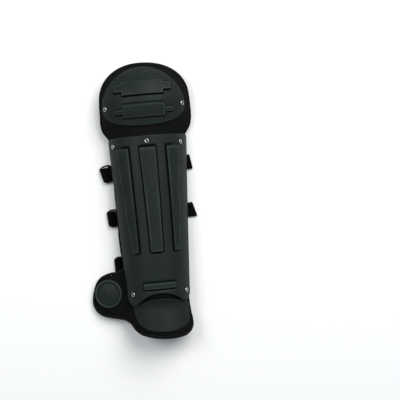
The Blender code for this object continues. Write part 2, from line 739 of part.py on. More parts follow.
def main():
    plastic = material("moulded_plastic", (0.035, 0.045, 0.04), 0.0, 0.5)
    cloth = material("pad_fabric", (0.012, 0.012, 0.013), 0.0, 0.9)
    tape = material("binding_tape", (0.01, 0.01, 0.011), 0.0, 0.85)
    webbing = material("strap_webbing", (0.014, 0.014, 0.014), 0.0, 0.85)
    nickel = material("nickel", (0.72, 0.7, 0.66), 1.0, 0.25)
    metal = material("black_ring_metal", (0.03, 0.03, 0.03), 0.6, 0.4)
    build_pad(thinned(spline(pad_outline(), 4.0), 0.18), cloth, tape)
    build_knee(plastic)
    build_shin(plastic)
    build_instep(plastic)
    build_disc(plastic)
    build_rivet("rivet_knee_outer", -76.4, 219, False, nickel)
    build_rivet("rivet_knee_inner", 77.6, 219.5, False, nickel)
    build_rivet("rivet_shin_top_outer", -67.8, 143, True, nickel)
    build_rivet("rivet_shin_top_middle", 0, 148, True, nickel)
    build_rivet("rivet_shin_top_inner", 67.8, 143, True, nickel)
    build_rivet("rivet_shin_bottom_outer", -53.6, -155.5, True, nickel)
    build_rivet("rivet_shin_bottom_inner", 53.6, -155.5, True, nickel)
    for row in STRAPS:
        build_strap(*row, webbing, metal)


main()
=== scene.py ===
"""Looks of a guard for the knee, shin and instep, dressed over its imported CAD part."""

from functools import lru_cache
from math import asin, atan2, copysign, cos, dist, hypot, pi, radians, sin, sqrt, tan

import bmesh
import bpy
from mathutils import Matrix, Vector, noise


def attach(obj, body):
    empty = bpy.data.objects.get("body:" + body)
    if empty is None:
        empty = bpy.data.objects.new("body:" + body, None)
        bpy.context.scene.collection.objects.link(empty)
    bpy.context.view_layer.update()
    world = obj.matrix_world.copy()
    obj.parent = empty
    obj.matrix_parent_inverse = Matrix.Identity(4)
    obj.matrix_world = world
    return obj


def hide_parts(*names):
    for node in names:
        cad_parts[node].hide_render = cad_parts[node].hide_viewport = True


bl_info = {
    "name": "Knee, shin and instep guard",
    "version": (1, 0, 0),
    "blender": (4, 5, 0),
    "location": "3D View > Sidebar > Leg Guard",
    "description": "Hard knee, shin and instep plates on a bound pad, with webbing straps through loop rings",
    "category": "Add Mesh",
}

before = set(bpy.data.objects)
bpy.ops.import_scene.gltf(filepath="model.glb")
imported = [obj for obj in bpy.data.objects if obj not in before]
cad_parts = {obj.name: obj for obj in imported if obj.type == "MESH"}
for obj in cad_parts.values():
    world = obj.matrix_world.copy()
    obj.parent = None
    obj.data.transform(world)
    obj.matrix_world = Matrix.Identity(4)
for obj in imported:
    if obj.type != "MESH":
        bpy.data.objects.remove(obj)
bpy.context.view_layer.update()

# The guard's own measures are in millimetres, with the knee end towards +Y, as in the part's source.
CENTRE = Vector((-21.2, 29.8, 0.0))
PIVOT = 30.0
PLATE_GAP = 0.8
LEFT, RIGHT = -1, 1

# The ankle lobe: where it begins and ends along the guard, then how it flattens out
LOBE_UPPER = (-94, -102)
LOBE_LOWER = (-217, -210)
LOBE_SHARE = 0.97
LOBE_FOOT = 64.0
LOBE_HEIGHT = 29.0
LOBE_SLOPE = tan(radians(14.9))
LOBE_BLEND = 8.0

CREST = (
    (-250, 76), (-230, 72.5), (-212, 67.5), (-196, 62.5), (-184, 60), (-172, 61.5),
    (-160, 66), (-148, 69), (-120, 69.5), (0, 69.8), (150, 70), (170, 70.8), (190, 74.5),
    (210, 79), (230, 81), (248, 79.2), (264, 74), (280, 64.8), (294, 52.7), (310, 37),
)
SHIN_CREST = ((-178, 69.1), (155, 70.1))
RADIUS = {
    LEFT: (
        (-250, 75), (-205, 75), (-185, 70), (-168, 67), (-110, 70), (-50, 72.2), (20, 74.2),
        (155, 78.2), (160, 78.9), (173, 93.5), (187, 98.5), (212, 99.5), (310, 98),
    ),
    RIGHT: (
        (-250, 75), (-205, 75), (-185, 69), (-168, 64.2), (155, 84.3), (160, 85), (173, 101),
        (187, 105.5), (212, 107), (310, 105),
    ),
}
SHIN_RADIUS = {LEFT: ((-178, 67.5), (155, 78.4)), RIGHT: ((-178, 63.6), (155, 84.4))}
LOBE_TURN = ((-250, 53), (-200, 53), (-180, 62), (-160, 68), (-100, 68))

# The pad's outline, counter-clockwise from the outer side of the foot: distance from the crest line,
# then distance round the surface, then turn from the crest, then what is seen from above for the ankle lobe
FOOT_EDGE = (
    (-65.4, -211.9), (-61.2, -220.6), (-54.4, -229.9), (-47.2, -235.8), (-39.7, -239.4), (-24.5, -243.5),
    (-9, -245.9), (6.9, -247.3), (23.2, -247.5), (36, -247), (46, -245.4), (54, -241.4), (60.3, -235.2),
    (64, -225.5), (63.8, -213.5), (62.2, -203), (61.4, -193),
)
HEEL_EDGE = ((75.2, -182), (79.5, -171), (84.5, -160.5), (87.5, -148))
RIGHT_TURN = (
    (-97, 77.3), (-40, 75.2), (0, 73.9), (20, 73.2), (80, 71.5), (110, 70.6), (140, 71.0), (152, 71.4),
)
KNEE_RIGHT = ((81, 160), (85, 165), (90, 171.5), (93.8, 180), (95.6, 190), (96.5, 202), (96.3, 216))
KNEE_MIDDLE = (-2.0, 232.0)
KNEE_HEIGHT = 77.6
KNEE_HALF = {LEFT: 87.3, RIGHT: 97.6}
KNEE_POWER = {LEFT: 0.93, RIGHT: 0.889}
KNEE_LEFT = ((-89.8, 216), (-90.4, 202), (-90.4, 188), (-88.6, 178), (-84.6, 170), (-79.5, 164), (-76.3, 159))
LEFT_TURN = (
    (150, 75.5), (135, 75.4), (112, 75), (87, 74.5), (64, 76.3), (45, 77.8), (22, 77.5), (0, 77), (-22, 78.8),
    (-38, 81.6), (-62, 81.8), (-77, 79.6),
)
NOTCH_EDGE = ((-96.5, -86), (-92.6, -94.5), (-88.5, -101.5))
LOBE_EDGE = (
    (-84.5, -108.4), (-93.5, -109.2), (-105.3, -111.7), (-118.5, -117.7), (-127.2, -127.3), (-132, -137.3),
    (-135.5, -147.2), (-137.8, -157.2), (-138.7, -167.2), (-137, -177.5), (-132, -187.8), (-124.2, -194.9),
    (-116.2, -198.7), (-108, -201.1), (-100, -202.9), (-91.8, -204.2), (-83.6, -206), (-75.6, -207.6),
)
PAD_NODES = ["pad_knee", "pad_shin_upper", "pad_shin_lower", "pad_foot", "pad_lobe"]

# The plates' outlines and raised parts
KNEE_PLATE_HALF = 83.3
KNEE_PLATE_MIDDLE = 220.0
KNEE_PLATE_TOP = (76.0, 2 / 1.87)
KNEE_PLATE_BOTTOM = (40.0, 2 / 2.4)
KNEE_BANDS = ((196, 203.6, 214.5, 223.2), (239, 246.2, 262.2, 266.8))
BAND_LEVEL = 230.0
BAND_HALF = 42.0
TAB_HALF = 57.0
BAND_CORNER = 2.0
SHIN_SIDE = {LEFT: (65, 76.9), RIGHT: (62.4, 82.5)}
SHIN_TOP = 159.3
SHIN_ARCH = (
    (0, -156.5), (10, -157.2), (20, -159.4), (28, -162.5), (36, -167), (43.3, -172.6), (48, -176.6),
    (51.5, -178.6), (55.5, -178.1), (59, -175.4), (62, -170.8), (64, -165), (64.7, -158),
)
RIB_TOP = 138.0
RIB_BOTTOM = -75.0
MIDDLE_RIB = (17.0, 13.0)
SIDE_RIB = ((36.7, 34.0), (63.6, 48.3))
RIB_END_SLOPE = (0.75, 0.55)
RIB_CORNER = 2.2
CROSS_BAND = (-148.5, -134.0)
CROSS_LEVEL = -142.0
CROSS_HALF = 33.0
CROSS_CORNER = 2.5
INSTEP_WALL = 2.6
INSTEP_PLATE = (
    (3.9, -233.7), (19, -233.2), (33.3, -230.6), (45, -226), (52.7, -218.5), (56.5, -208), (57, -196),
    (56.4, -183), (54.4, -178.6), (50, -176.8), (38, -172.8), (20, -169.2), (0, -168), (-20, -169.2),
    (-38, -172.8), (-49, -176.8), (-53.2, -178.6), (-54.8, -183), (-54.1, -193.7), (-51.5, -205.6),
    (-46.7, -216.1), (-37.3, -224.3), (-24.9, -229.8), (-10.7, -232.6),
)
GROOVE = 1.2
FAR_OUT = -9.0
# Share of painted shade laid evenly over the whole instep plate, which tilts towards the light
INSTEP_PAINTED_SHADE = 0.24

# Depths of the rows of faces: along the rims, then beside the outline of a raised form
RIM_STEPS = (0.25, 0.35, 0.6)
PAD_RIM_STEPS = (0.5, 1.1, 2.0, 3.1)
RAISED_CUTS = (-2.3, -1.7, -1.2, -0.6, -0.1, 0.4, 0.9, 1.4, 2.0)
# Grids of the sheets: from, to, step
KNEE_COLUMNS, KNEE_ROWS = (-96, 96, 4.0), (183, 293, 3.4)
SHIN_COLUMNS, SHIN_ROWS = (-92, 92, 5.0), (-176, 157, 7.0)
INSTEP_COLUMNS, INSTEP_ROWS = (-62, 62, 4.0), (-232, -171, 3.5)
PAD_COLUMNS, PAD_ROWS = (-150, 122, 5.0), (-246, 303, 5.0)

# The round pieces, as (radius, height), and for the disc's edge (distance inwards from its rim, height)
DISC_SPOT = (-102.4, -152.2)
DISC_RADIUS = 29.6
DISC_EDGE = (
    (1.2, 1.0), (0.3, 1.3), (0, 2.1), (0.3, 3.4), (1.5, 4.6), (2.7, 5.7), (3.7, 6.2), (4.7, 5.9), (5.5, 4.9),
    (6.2, 4.2), (7.2, 4.15), (9.5, 4.4),
)
DISC_DOME = ((14.0, 5.2), (7.0, 6.1), (3.0, 6.4), (0, 6.5))
DISC_RIM = 3.7
DISC_GROOVE = 6.8
# Share of the pale edge colour laid over the whole ankle cap, making it paler all over
DISC_PALE_SHARE = 0.2
RIVET_PROFILE = (
    (0, 0), (3.9, 0), (4.35, 0.25), (4.4, 0.7), (4.15, 1.3), (3.65, 1.8), (3.05, 2.0), (2.4, 1.75),
    (2.1, 1.1), (1.9, 0.5), (1.0, 0.35), (0, 0.35),
)
# name, place seen from above, whether on the shin plate
RIVETS = (
    ("knee_outer", -76.4, 219.0, False),
    ("knee_inner", 77.6, 219.5, False),
    ("shin_top_outer", -67.8, 143.0, True),
    ("shin_top_middle", 0.0, 148.0, True),
    ("shin_top_inner", 67.8, 143.0, True),
    ("shin_bottom_outer", -53.6, -155.5, True),
    ("shin_bottom_inner", 53.6, -155.5, True),
)
# name, then the ring's place along the guard, outer bar and turn, then the inner fold's place, reach and turn
STRAPS = (
    ("upper", 88.5, -94.4, 14.5, 102.0, 87.2, 9.0),
    ("middle", -0.8, -89.4, 4.5, 4.6, 86.4, 15.0),
    ("lower", -97.0, -83.2, 0.7, -97.0, 0.0, 0.0),
)
WALL_DEPTH = 11.9
WEBBING_ROWS = 8
STRAP_SEAMS = ((6, -1), (16, -1), (-4, 1), (-12, 1))
TAB_SEAMS = ((6, 1), (16, 1))
SEAM_STITCHES = 8
STITCH_RISE = 0.24
BAR_HEIGHT = 7.4
RING_ACROSS = 18.5
RING_RISE = 1.9
RING_HALF = 16.6
RING_CORNER = 4.5
WIRE = 1.6

# Finishes by name, and values used in them
PLASTIC, CLOTH, TAPE = "grained_plastic", "woven_cover", "edge_tape_weave"
WEBBING, NICKEL, PAINT, THREAD = "webbing_weave", "nickel_plate", "ring_finish", "sewing_thread"
THREAD_COLOUR = (0.007, 0.007, 0.007)
SHEEN = 0.02
# Sockets of the colour mix node
MIX_FACTOR, MIX_UNDER, MIX_OVER, MIX_RESULT = 0, 6, 7, 2

# The stage, in metres: lights as (place, aim, size), then the camera and half its view at a level
SKY_COLOUR = (0.88, 0.95, 1.0, 1)
TOP_LIGHT = ((1.2, 1.4, 2.1), (0.05, 0.05, 0.0), 2.2)
KEY_LIGHT = ((-1.2, 0.7, 2.1), (0.0, 0.05, 0.03), 1.2)
CAMERA_SPOT = (0.1191, -0.008)
CAMERA_TURN = -5.0
VIEW_HALF = 0.4028
VIEW_LEVEL = 0.04
SENSOR = 36.0


# Reading the tables

def ease(low, high, value):
    """0 at low, 1 at high, with a smooth change between them."""
    t = min(1.0, max(0.0, (value - low) / (high - low)))
    return t * t * (3 - 2 * t)


def straight(rows, y):
    """Reading of a table of two rows, straight on beyond them."""
    (y0, v0), (y1, v1) = rows
    return v0 + (v1 - v0) * (y - y0) / (y1 - y0)


def curve(rows, y):
    """Smooth reading of a table, level beyond its ends."""
    if y <= rows[0][0]:
        return rows[0][1]
    if y >= rows[-1][0]:
        return rows[-1][1]
    last = len(rows) - 1
    i = 0
    while y > rows[i + 1][0]:
        i += 1
    slopes = []
    for k in (i, i + 1):
        a, b = rows[max(k - 1, 0)], rows[min(k + 1, last)]
        slopes.append((b[1] - a[1]) / (b[0] - a[0]))
    (y0, v0), (y1, v1) = rows[i], rows[i + 1]
    width = y1 - y0
    t = (y - y0) / width
    held = v0 * (1 + 2 * t) * (1 - t) ** 2 + v1 * t * t * (3 - 2 * t)
    return held + width * (slopes[0] * t * (1 - t) ** 2 - slopes[1] * t * t * (1 - t))


# The curved surface that every piece is laid on

@lru_cache(maxsize=200000)
def station(y, plate, side):
    """Radius, crest height, sine and cosine of the lean, lean, and share and turn of the ankle lobe at y.

    The guard leans 6 degrees at the foot and 3 at the knee."""
    if plate:
        r, top, share = straight(SHIN_RADIUS[side], y), straight(SHIN_CREST, y), 0.0
    else:
        r, top = curve(RADIUS[side], y), curve(CREST, y)
        share = ease(*LOBE_UPPER, y) * ease(*LOBE_LOWER, y)
    lean = radians(6 - 3 * ease(-20, 200, y))
    turn = radians(curve(LOBE_TURN, y)) if share else 0.0
    return r, top, sin(lean), cos(lean), lean, share, turn


def side_of(place):
    return LEFT if place < 0 else RIGHT


def arc(s, y, plate):
    """(x, z) on the leaning round section at y, without the lobe."""
    r, top, sine, cosine = station(y, plate, side_of(s))[:4]
    x = r * sin(s / r)
    z = top - r * (1 - cos(s / r)) - PIVOT
    return x * cosine + z * sine, PIVOT + z * cosine - x * sine


def surface(s, y, plate=False):
    """Outer face of the pad at s round from the crest. The shin plate's own stays straight over the ankle."""
    x, z = arc(s, y, plate)
    r, _, _, _, lean, share, turn = station(y, plate, side_of(s))
    if share > 0 and -s > r * turn:
        start = r * turn
        x1, z1 = arc(-start, y, plate)
        xl = x1 - (-s - start) * LOBE_SHARE
        zl = z1 - (x1 - xl) * tan(turn - lean)
        flat = LOBE_HEIGHT + (xl + LOBE_FOOT) * LOBE_SLOPE
        zl = max(zl, flat) + max(LOBE_BLEND - abs(zl - flat), 0.0) ** 2 / (4 * LOBE_BLEND)
        x += (xl - x) * share
        z += (zl - z) * share
    return Vector((x, y, z))


def normal(s, y, plate=False):
    """Direction out of the surface."""
    e = 0.4
    along_s = surface(s + e, y, plate) - surface(s - e, y, plate)
    along_y = surface(s, y + e, plate) - surface(s, y - e, plate)
    return along_s.cross(along_y).normalized()


def skin(s, y, h, plate=False):
    """Point h over the surface."""
    return surface(s, y, plate) + normal(s, y, plate) * h


def round_from(x, y, h, plate=False):
    """Distance round the surface of what lies x beside the crest line, h over the surface."""
    r = station(y, plate, side_of(x))[0]
    return r * asin(max(-1.0, min(1.0, x / (r + h))))


def round_from_above(x, y):
    """Distance round the pad of what is seen at x from above, on the outer side."""
    low, high = -190.0, 0.0
    for _ in range(40):
        middle = (low + high) / 2
        if surface(middle, y).x < x:
            low = middle
        else:
            high = middle
    return (low + high) / 2


def axes_at(s, y, plate=False):
    """Axes of what lies on the surface: across, along and out of it."""
    up = normal(s, y, plate)
    across = Vector((0, 1, 0)).cross(up).normalized()
    return across, up.cross(across).normalized(), up


def ripple(s, y, size, seed=0.0):
    """Seeded soft unevenness between about -1 and 1."""
    return noise.noise(Vector((s / size, y / size, seed)))


# Outlines, as (distance round, place along) points

def spline(points, step, closed=True):
    """A smooth line through the points, with new ones about a step apart."""
    found = []
    count = len(points)
    for i in range(count if closed else count - 1):
        near = (i - 1, i, i + 1, i + 2)
        p = [points[k % count if closed else min(max(k, 0), count - 1)] for k in near]
        pieces = max(1, round(dist(p[1], p[2]) / step))
        for k in range(pieces):
            t = k / pieces
            place = []
            for a, b, c, d in zip(*p):
                square, cube = 2 * a - 5 * b + 4 * c - d, 3 * b - a - 3 * c + d
                place.append(0.5 * (2 * b + (c - a) * t + square * t * t + cube * t ** 3))
            found.append(tuple(place))
    if not closed:
        found.append(tuple(points[-1]))
    return found


def running(line):
    """Distance along a line, up to each of its points."""
    lengths = [0.0]
    for a, b in zip(line, line[1:]):
        lengths.append(lengths[-1] + dist(a, b))
    return lengths


def evenly(points, step, closed=True):
    """The same line with its points an even step apart."""
    line = list(points) + ([points[0]] if closed else [])
    lengths = running(line)
    count = max(2, round(lengths[-1] / step))
    found, i = [], 0
    for k in range(count if closed else count + 1):
        want = lengths[-1] * k / count
        while i < len(line) - 2 and lengths[i + 1] < want:
            i += 1
        span = lengths[i + 1] - lengths[i] or 1.0
        t = (want - lengths[i]) / span
        found.append(tuple(a + (b - a) * t for a, b in zip(line[i], line[i + 1])))
    return found


def inset(points, amount):
    """A counter-clockwise outline moved inwards, with mitred corners."""
    found = []
    count = len(points)
    for i in range(count):
        (ax, ay), (bx, by), (cx, cy) = points[i - 1], points[i], points[(i + 1) % count]
        first = hypot(bx - ax, by - ay)
        second = hypot(cx - bx, cy - by)
        mx = -(by - ay) / first - (cy - by) / second
        my = (bx - ax) / first + (cx - bx) / second
        scale = 2 / max(mx * mx + my * my, 1.2)
        found.append((bx + mx * scale * amount, by + my * scale * amount))
    return found


def laid(points, h=0, plate=False):
    """Outline points that are given as seen from above, brought round the surface."""
    return [(round_from(x, y, h, plate), y) for x, y in points]


def turned_edge(rows, side):
    """Outline points that are given by their turn from the crest."""
    return [(side * station(y, False, side)[0] * radians(angle), y) for y, angle in rows]


def pad_outline():
    knee = []
    for k in range(19):
        c, d = cos(radians(10 * k)), sin(radians(10 * k))
        side = side_of(c)
        x = KNEE_MIDDLE[0] + side * KNEE_HALF[side] * abs(c) ** KNEE_POWER[side]
        knee.append((x, KNEE_MIDDLE[1] + KNEE_HEIGHT * abs(d) ** KNEE_POWER[side]))
    return [
        *laid(FOOT_EDGE), *HEEL_EDGE, *turned_edge(RIGHT_TURN, RIGHT),
        *laid((*KNEE_RIGHT, *knee, *KNEE_LEFT)), *turned_edge(LEFT_TURN, LEFT), *NOTCH_EDGE,
        *((round_from_above(x, y), y) for x, y in LOBE_EDGE),
    ]


def knee_outline(h):
    points = []
    for k in range(96):
        angle = 2 * pi * k / 96
        c, d = cos(angle), sin(angle)
        height, power = KNEE_PLATE_TOP if d > 0 else KNEE_PLATE_BOTTOM
        x = KNEE_PLATE_HALF * copysign(abs(c) ** power, c)
        points.append((x, KNEE_PLATE_MIDDLE + height * copysign(abs(d) ** power, d)))
    return evenly(laid(points, h), 4.0)


def shin_outline(h):
    """Right half from the arch up to the top edge, then the left half back down."""
    found = []
    for side in (RIGHT, LEFT):
        low, high = SHIN_SIDE[side]
        points = []
        for x, y in SHIN_ARCH:
            narrow = 1 + (low / SHIN_ARCH[-1][0] - 1) * ease(30, 64, x)
            lift = 3.5 * ease(40, 56, x) * ease(-150, -165, y) if side == RIGHT else 0
            points.append((x * narrow, y + lift))
        points += [(low + (high - low) * k / 8, -150 + 300 * k / 8) for k in range(9)]
        points += [(high, 155.0), (high - 0.8, 157.4), (high - 2.4, 158.9), (high - 4.6, SHIN_TOP)]
        points += [((high - 4.6) * (1 - k / 6), SHIN_TOP) for k in range(1, 6)]
        half = laid([(side * x, y) for x, y in points], h, True)
        found += half if side == RIGHT else [(0, SHIN_TOP)] + half[:0:-1]
    return evenly(spline(found, 3.0), 4.0)


def instep_outline(h):
    return evenly(spline(laid(INSTEP_PLATE, h), 3.0), 4.0)

# Building meshes with Blender's own operators

def layers(bm, *names):
    """Gives every vertex a value under each of these names. It comes before any vertex is kept in a list."""
    return [bm.verts.layers.float.new(name) for name in names]


def new_verts(made):
    """The vertices among what an extrusion made."""
    return [v for v in made["geom"] if isinstance(v, bmesh.types.BMVert)]


def cut(bm, place, direction, stretch=None):
    """Splits the flat faces along a line, or only those whose middle lies in a stretch along the guard."""
    if stretch:
        low, high = stretch
        geometry = {}
        for face in bm.faces:
            if low < face.calc_center_median().y < high:
                geometry.update(dict.fromkeys((face, *face.edges, *face.verts)))
    else:
        geometry = bm.verts[:] + bm.edges[:] + bm.faces[:]
    if geometry:
        bmesh.ops.bisect_plane(
            bm, geom=list(geometry), dist=0.05, plane_co=(*place, 0), plane_no=(*direction, 0)
        )


def flat_sheet(outline, rims, s_cuts, y_cuts, slants=()):
    """A flat outline with rows of faces along its rim, cut into a grid, and its layer of depths inwards."""
    bm = bmesh.new()
    face = bm.faces.new([bm.verts.new((s, y, 0)) for s, y in outline])
    depth, = layers(bm, "rim")
    done = 0.0
    for step in rims:
        bmesh.ops.inset_individual(bm, faces=[face], thickness=step, use_even_offset=True)
        done += step
        for vert in face.verts:
            vert[depth] = done
    for y in y_cuts:
        cut(bm, (0, y), (0, 1))
    for s in s_cuts:
        cut(bm, (s, 0), (1, 0))
    for a, b, stretch in slants:
        cut(bm, a, (b[1] - a[1], a[0] - b[0]), stretch)
    return bm, depth


def lay(bm, depth, top, bottom, plate):
    """Extrudes the flat sheet and wraps it on the surface. top gives the height, the pale edge lines (scuffs
    with a painted highlight) and the painted shade.
    """
    along, across, wear, grime = layers(bm, "along", "across", "wear", "grime")
    for vert in bm.verts:
        vert[across], vert[along] = vert.co.x, vert.co.y
    upper = set(new_verts(bmesh.ops.extrude_face_region(bm, geom=bm.faces[:])))
    for vert in bm.verts:
        s, y = vert.co.x, vert.co.y
        if vert in upper:
            h, vert[wear], vert[grime] = top(s, y, vert[depth])
        else:
            h = bottom(s, y, vert[depth])
        vert.co = skin(s, y, h, plate)


def swept(bm, stations, section):
    """Extrudes a closed section along a closed line of stations; section(i) gives its points there."""
    ring = [bm.verts.new(p) for p in section(0)]
    count = len(ring)
    for i in range(count):
        bm.edges.new((ring[i], ring[(i + 1) % count]))
    rings = [ring]
    for k in range(1, stations):
        edges = [bm.edges.get((ring[i], ring[(i + 1) % count])) for i in range(count)]
        fresh = set(new_verts(bmesh.ops.extrude_edge_only(bm, edges=edges)))
        ring = [next(e.other_vert(v) for e in v.link_edges if e.other_vert(v) in fresh) for v in ring]
        for vert, place in zip(ring, section(k)):
            vert.co = place
        rings.append(ring)
    ends = [bm.edges.get((r[i], r[(i + 1) % count])) for r in (rings[0], ring) for i in range(count)]
    bmesh.ops.bridge_loops(bm, edges=ends)
    return rings


def turned(bm, centre, axes, profile, step, steps):
    """Spins a profile of (radius, height) points, whose ends lie on the axis, into a round piece."""
    across, _, up = axes
    line = [profile[0]] + spline(profile[1:], step, closed=False)
    start = [bm.verts.new(centre + across * r + up * h) for r, h in line]
    edges = [bm.edges.new((a, b)) for a, b in zip(start, start[1:])]
    bmesh.ops.spin(
        bm, geom=start + edges, cent=centre, axis=up, angle=2 * pi, steps=steps, use_merge=True
    )
    bmesh.ops.remove_doubles(bm, verts=bm.verts[:], dist=1e-4)


def height_and_reach(vert, centre, up):
    """A vertex's height over the foot of a turned piece, and its distance from the axis."""
    high = (vert.co - centre).dot(up)
    return high, (vert.co - centre - up * high).length


def stitch(bm, middle, way, side, half_length, half_width=0.34):
    """One stitch: a small drop of thread that lies along way."""
    turn = Matrix((side, way, side.cross(way))).transposed().to_4x4()
    place = Matrix.Translation(middle) @ turn @ Matrix.Diagonal((half_width, half_length, STITCH_RISE, 1))
    bmesh.ops.create_uvsphere(bm, u_segments=6, v_segments=4, radius=1.0, matrix=place)


def write_uv(bm, u_layer, v_layer, wrap=None):
    """Makes the piece's UV map from two layers of millimetres, in metres."""
    uv = bm.loops.layers.uv.new("UVMap")
    for face in bm.faces:
        us = [loop.vert[u_layer] for loop in face.loops]
        split = wrap is not None and max(us) - min(us) > wrap / 2
        for loop, u in zip(face.loops, us):
            if split and u < wrap / 2:
                u += wrap
            loop[uv].uv = (u / 1000, loop.vert[v_layer] / 1000)


def piece(name, bm, finish, replaces=()):
    """Turns the millimetre mesh into a finished object at the origin, in metres, riding with the part."""
    bmesh.ops.recalc_face_normals(bm, faces=bm.faces[:])
    for vert in bm.verts:
        vert.co = (vert.co - CENTRE) / 1000
    for face in bm.faces:
        face.smooth = True
    mesh = bpy.data.meshes.new(name)
    bm.to_mesh(mesh)
    bm.free()
    mesh.materials.append(bpy.data.materials[finish])
    thing = bpy.data.objects.new(name, mesh)
    bpy.context.scene.collection.objects.link(thing)
    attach(thing, "root")
    if replaces:
        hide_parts(*replaces)
    return thing


def mark_sharp(thing, degrees):
    thing.data.set_sharp_from_angle(angle=radians(degrees))


# Materials

class Recipe:
    """A material's nodes, one after another. What feeds a socket is a value, or a (node, output) pair."""

    def __init__(self, name):
        self.material = bpy.data.materials.new(name)
        if self.material.name != name:
            raise RuntimeError(f"the material name {name} is taken")
        self.material.use_nodes = True
        self.tree = self.material.node_tree

    def feed(self, node, socket, source):
        if isinstance(source, tuple) and isinstance(source[0], bpy.types.Node):
            feeder, output = source
            self.tree.links.new(feeder.outputs[output], node.inputs[socket])
        else:
            node.inputs[socket].default_value = source

    def add(self, kind, output, numbered=None, **values):
        """Adds a node with its properties and what feeds its sockets, by name and by number."""
        node = self.tree.nodes.new("ShaderNode" + kind)
        for key, value in values.items():
            socket = key.replace("_", " ")
            if socket in node.inputs:
                self.feed(node, socket, value)
            else:
                setattr(node, key, value)
        for socket, source in (numbered or {}).items():
            self.feed(node, socket, source)
        return node, output

    def mapped(self, output, **values):
        return self.add("Mapping", "Vector", Vector=self.add("TexCoord", output), **values)

    def cloud(self, place, scale, detail, roughness=0.5):
        return self.add("TexNoise", "Fac", Vector=place, Scale=scale, Detail=detail, Roughness=roughness)

    def bands(self, place, way, scale, distortion, detail):
        values = {"Scale": scale, "Distortion": distortion, "Detail": detail, "bands_direction": way}
        return self.add("TexWave", "Fac", Vector=place, **values)

    def layer(self, name):
        """What the build wrote on the vertices under this name."""
        return self.add("Attribute", "Fac", attribute_name=name)

    def mix(self, factor, under, over, blend="MIX"):
        sockets = {MIX_FACTOR: factor, MIX_UNDER: under, MIX_OVER: over}
        return self.add("Mix", MIX_RESULT, sockets, data_type="RGBA", blend_type=blend)

    def ramp(self, source, *stops):
        ramp = self.add("ValToRGB", "Color", Fac=source)
        bands = ramp[0].color_ramp.elements
        while len(bands) < len(stops):
            bands.new(0.5)
        for band, (place, colour) in zip(bands, stops):
            band.position, band.color = place, colour
        return ramp

    def bump(self, height, strength, distance, **under):
        return self.add("Bump", "Normal", Height=height, Strength=strength, Distance=distance, **under)

    def finish(self, **sockets):
        for name, source in sockets.items():
            self.feed(self.tree.nodes["Principled BSDF"], name.replace("_", " "), source)


def shade(colour, factor=1.0):
    return (*(min(1.0, c * factor) for c in colour), 1.0)


def moulded_plastic(shell):
    """Dark green-grey plastic with a fine grain, pale lines on its raised edges (scuffs with a painted
    highlight) and painted shade at their feet.
    """
    r, colour = Recipe(PLASTIC), shell.colour
    place = r.mapped("Object")
    tint = r.ramp(r.cloud(place, 22.0, 5.0, 0.6), (0.3, shade(colour, 0.86)), (0.7, shade(colour, 1.14)))
    # Pale edge lines: scuffs together with a painted highlight where the rounded edges catch the light
    broken = r.add(
        "Math", "Value", {0: r.layer("wear"), 1: r.cloud(place, 420.0, 4.0, 0.7)}, operation="MULTIPLY"
    )
    glinting_and_scuffed = r.mix(broken, tint, shade(colour, 5.0))
    # Painted shade: the plastic is mixed towards near black where the build marked the feet of raised forms
    grime = r.layer("grime")
    shaded_tint = r.mix(grime, glinting_and_scuffed, shade(colour, 0.04))
    streaks = r.cloud(r.mapped("Object", Scale=(60, 900, 60), Rotation=(0, 0, 0.5)), 1.0, 3.0, 0.65)
    gloss = r.add(
        "MapRange", "Result", Value=streaks, From_Min=0.3, From_Max=0.75,
        To_Min=shell.roughness - 0.05, To_Max=shell.roughness + 0.09,
    )
    dull = r.add("Math", "Value", {0: grime, 1: 0.45, 2: gloss}, operation="MULTIPLY_ADD")
    grain = r.bump(r.add("TexVoronoi", "Distance", Vector=place, Scale=900.0), 0.22, 0.0002)
    waves = r.bump(r.cloud(place, 38.0, 2.0), 0.10, 0.0012, Normal=grain)
    r.finish(Base_Color=shaded_tint, Roughness=dull, Normal=waves, Metallic=0.0, IOR=1.20)


def pad_fabric(pad):
    """Black nylon cloth with a fine plain weave, a soft sheen and a little dust."""
    r, colour = Recipe(CLOTH), pad.colour
    flat, solid = r.mapped("UV"), r.mapped("Object")
    warp, weft = (r.bands(flat, way, 260.0, 0.6, 1.0) for way in ("X", "Y"))
    weave = r.add("Math", "Value", {0: warp, 1: weft}, operation="MULTIPLY")
    stops = (0.28, shade(colour, 0.72)), (0.55, shade(colour)), (0.8, shade(colour, 1.5))
    dust = r.ramp(r.cloud(solid, 16.0, 6.0, 0.65), *stops)
    puckers = r.bump(r.cloud(solid, 75.0, 3.0), 0.18, 0.0015, Normal=r.bump(weave, 0.35, 0.0003))
    r.finish(
        Base_Color=r.mix(0.55, dust, weave, "MULTIPLY"), Normal=puckers, Roughness=0.92, IOR=1.1,
        Sheen_Weight=SHEEN, Sheen_Roughness=0.5, Sheen_Tint=(0.2, 0.2, 0.2, 1),
    )


def ribbed_tape(name, colour, rib_scale, thread_scale):
    """Woven tape: ribs across it, crossed by fine threads along it."""
    r = Recipe(name)
    flat = r.mapped("UV")
    ribs = r.bands(flat, "X", rib_scale, 0.25, 0.0)
    threads = r.bands(flat, "Y", thread_scale, 0.8, 1.0)
    height = r.add("Math", "Value", {0: threads, 1: 0.35, 2: ribs}, operation="MULTIPLY_ADD")
    cloud = r.cloud(r.mapped("Object"), 40.0, 5.0, 0.6)
    tint = r.ramp(cloud, (0.3, shade(colour, 0.7)), (0.75, shade(colour, 1.35)))
    r.finish(
        Base_Color=r.mix(0.5, tint, ribs, "MULTIPLY"), Roughness=0.8, IOR=1.12,
        Normal=r.bump(height, 0.5, 0.0004),
        Sheen_Weight=SHEEN, Sheen_Roughness=0.4, Sheen_Tint=(0.25, 0.25, 0.27, 1),
    )


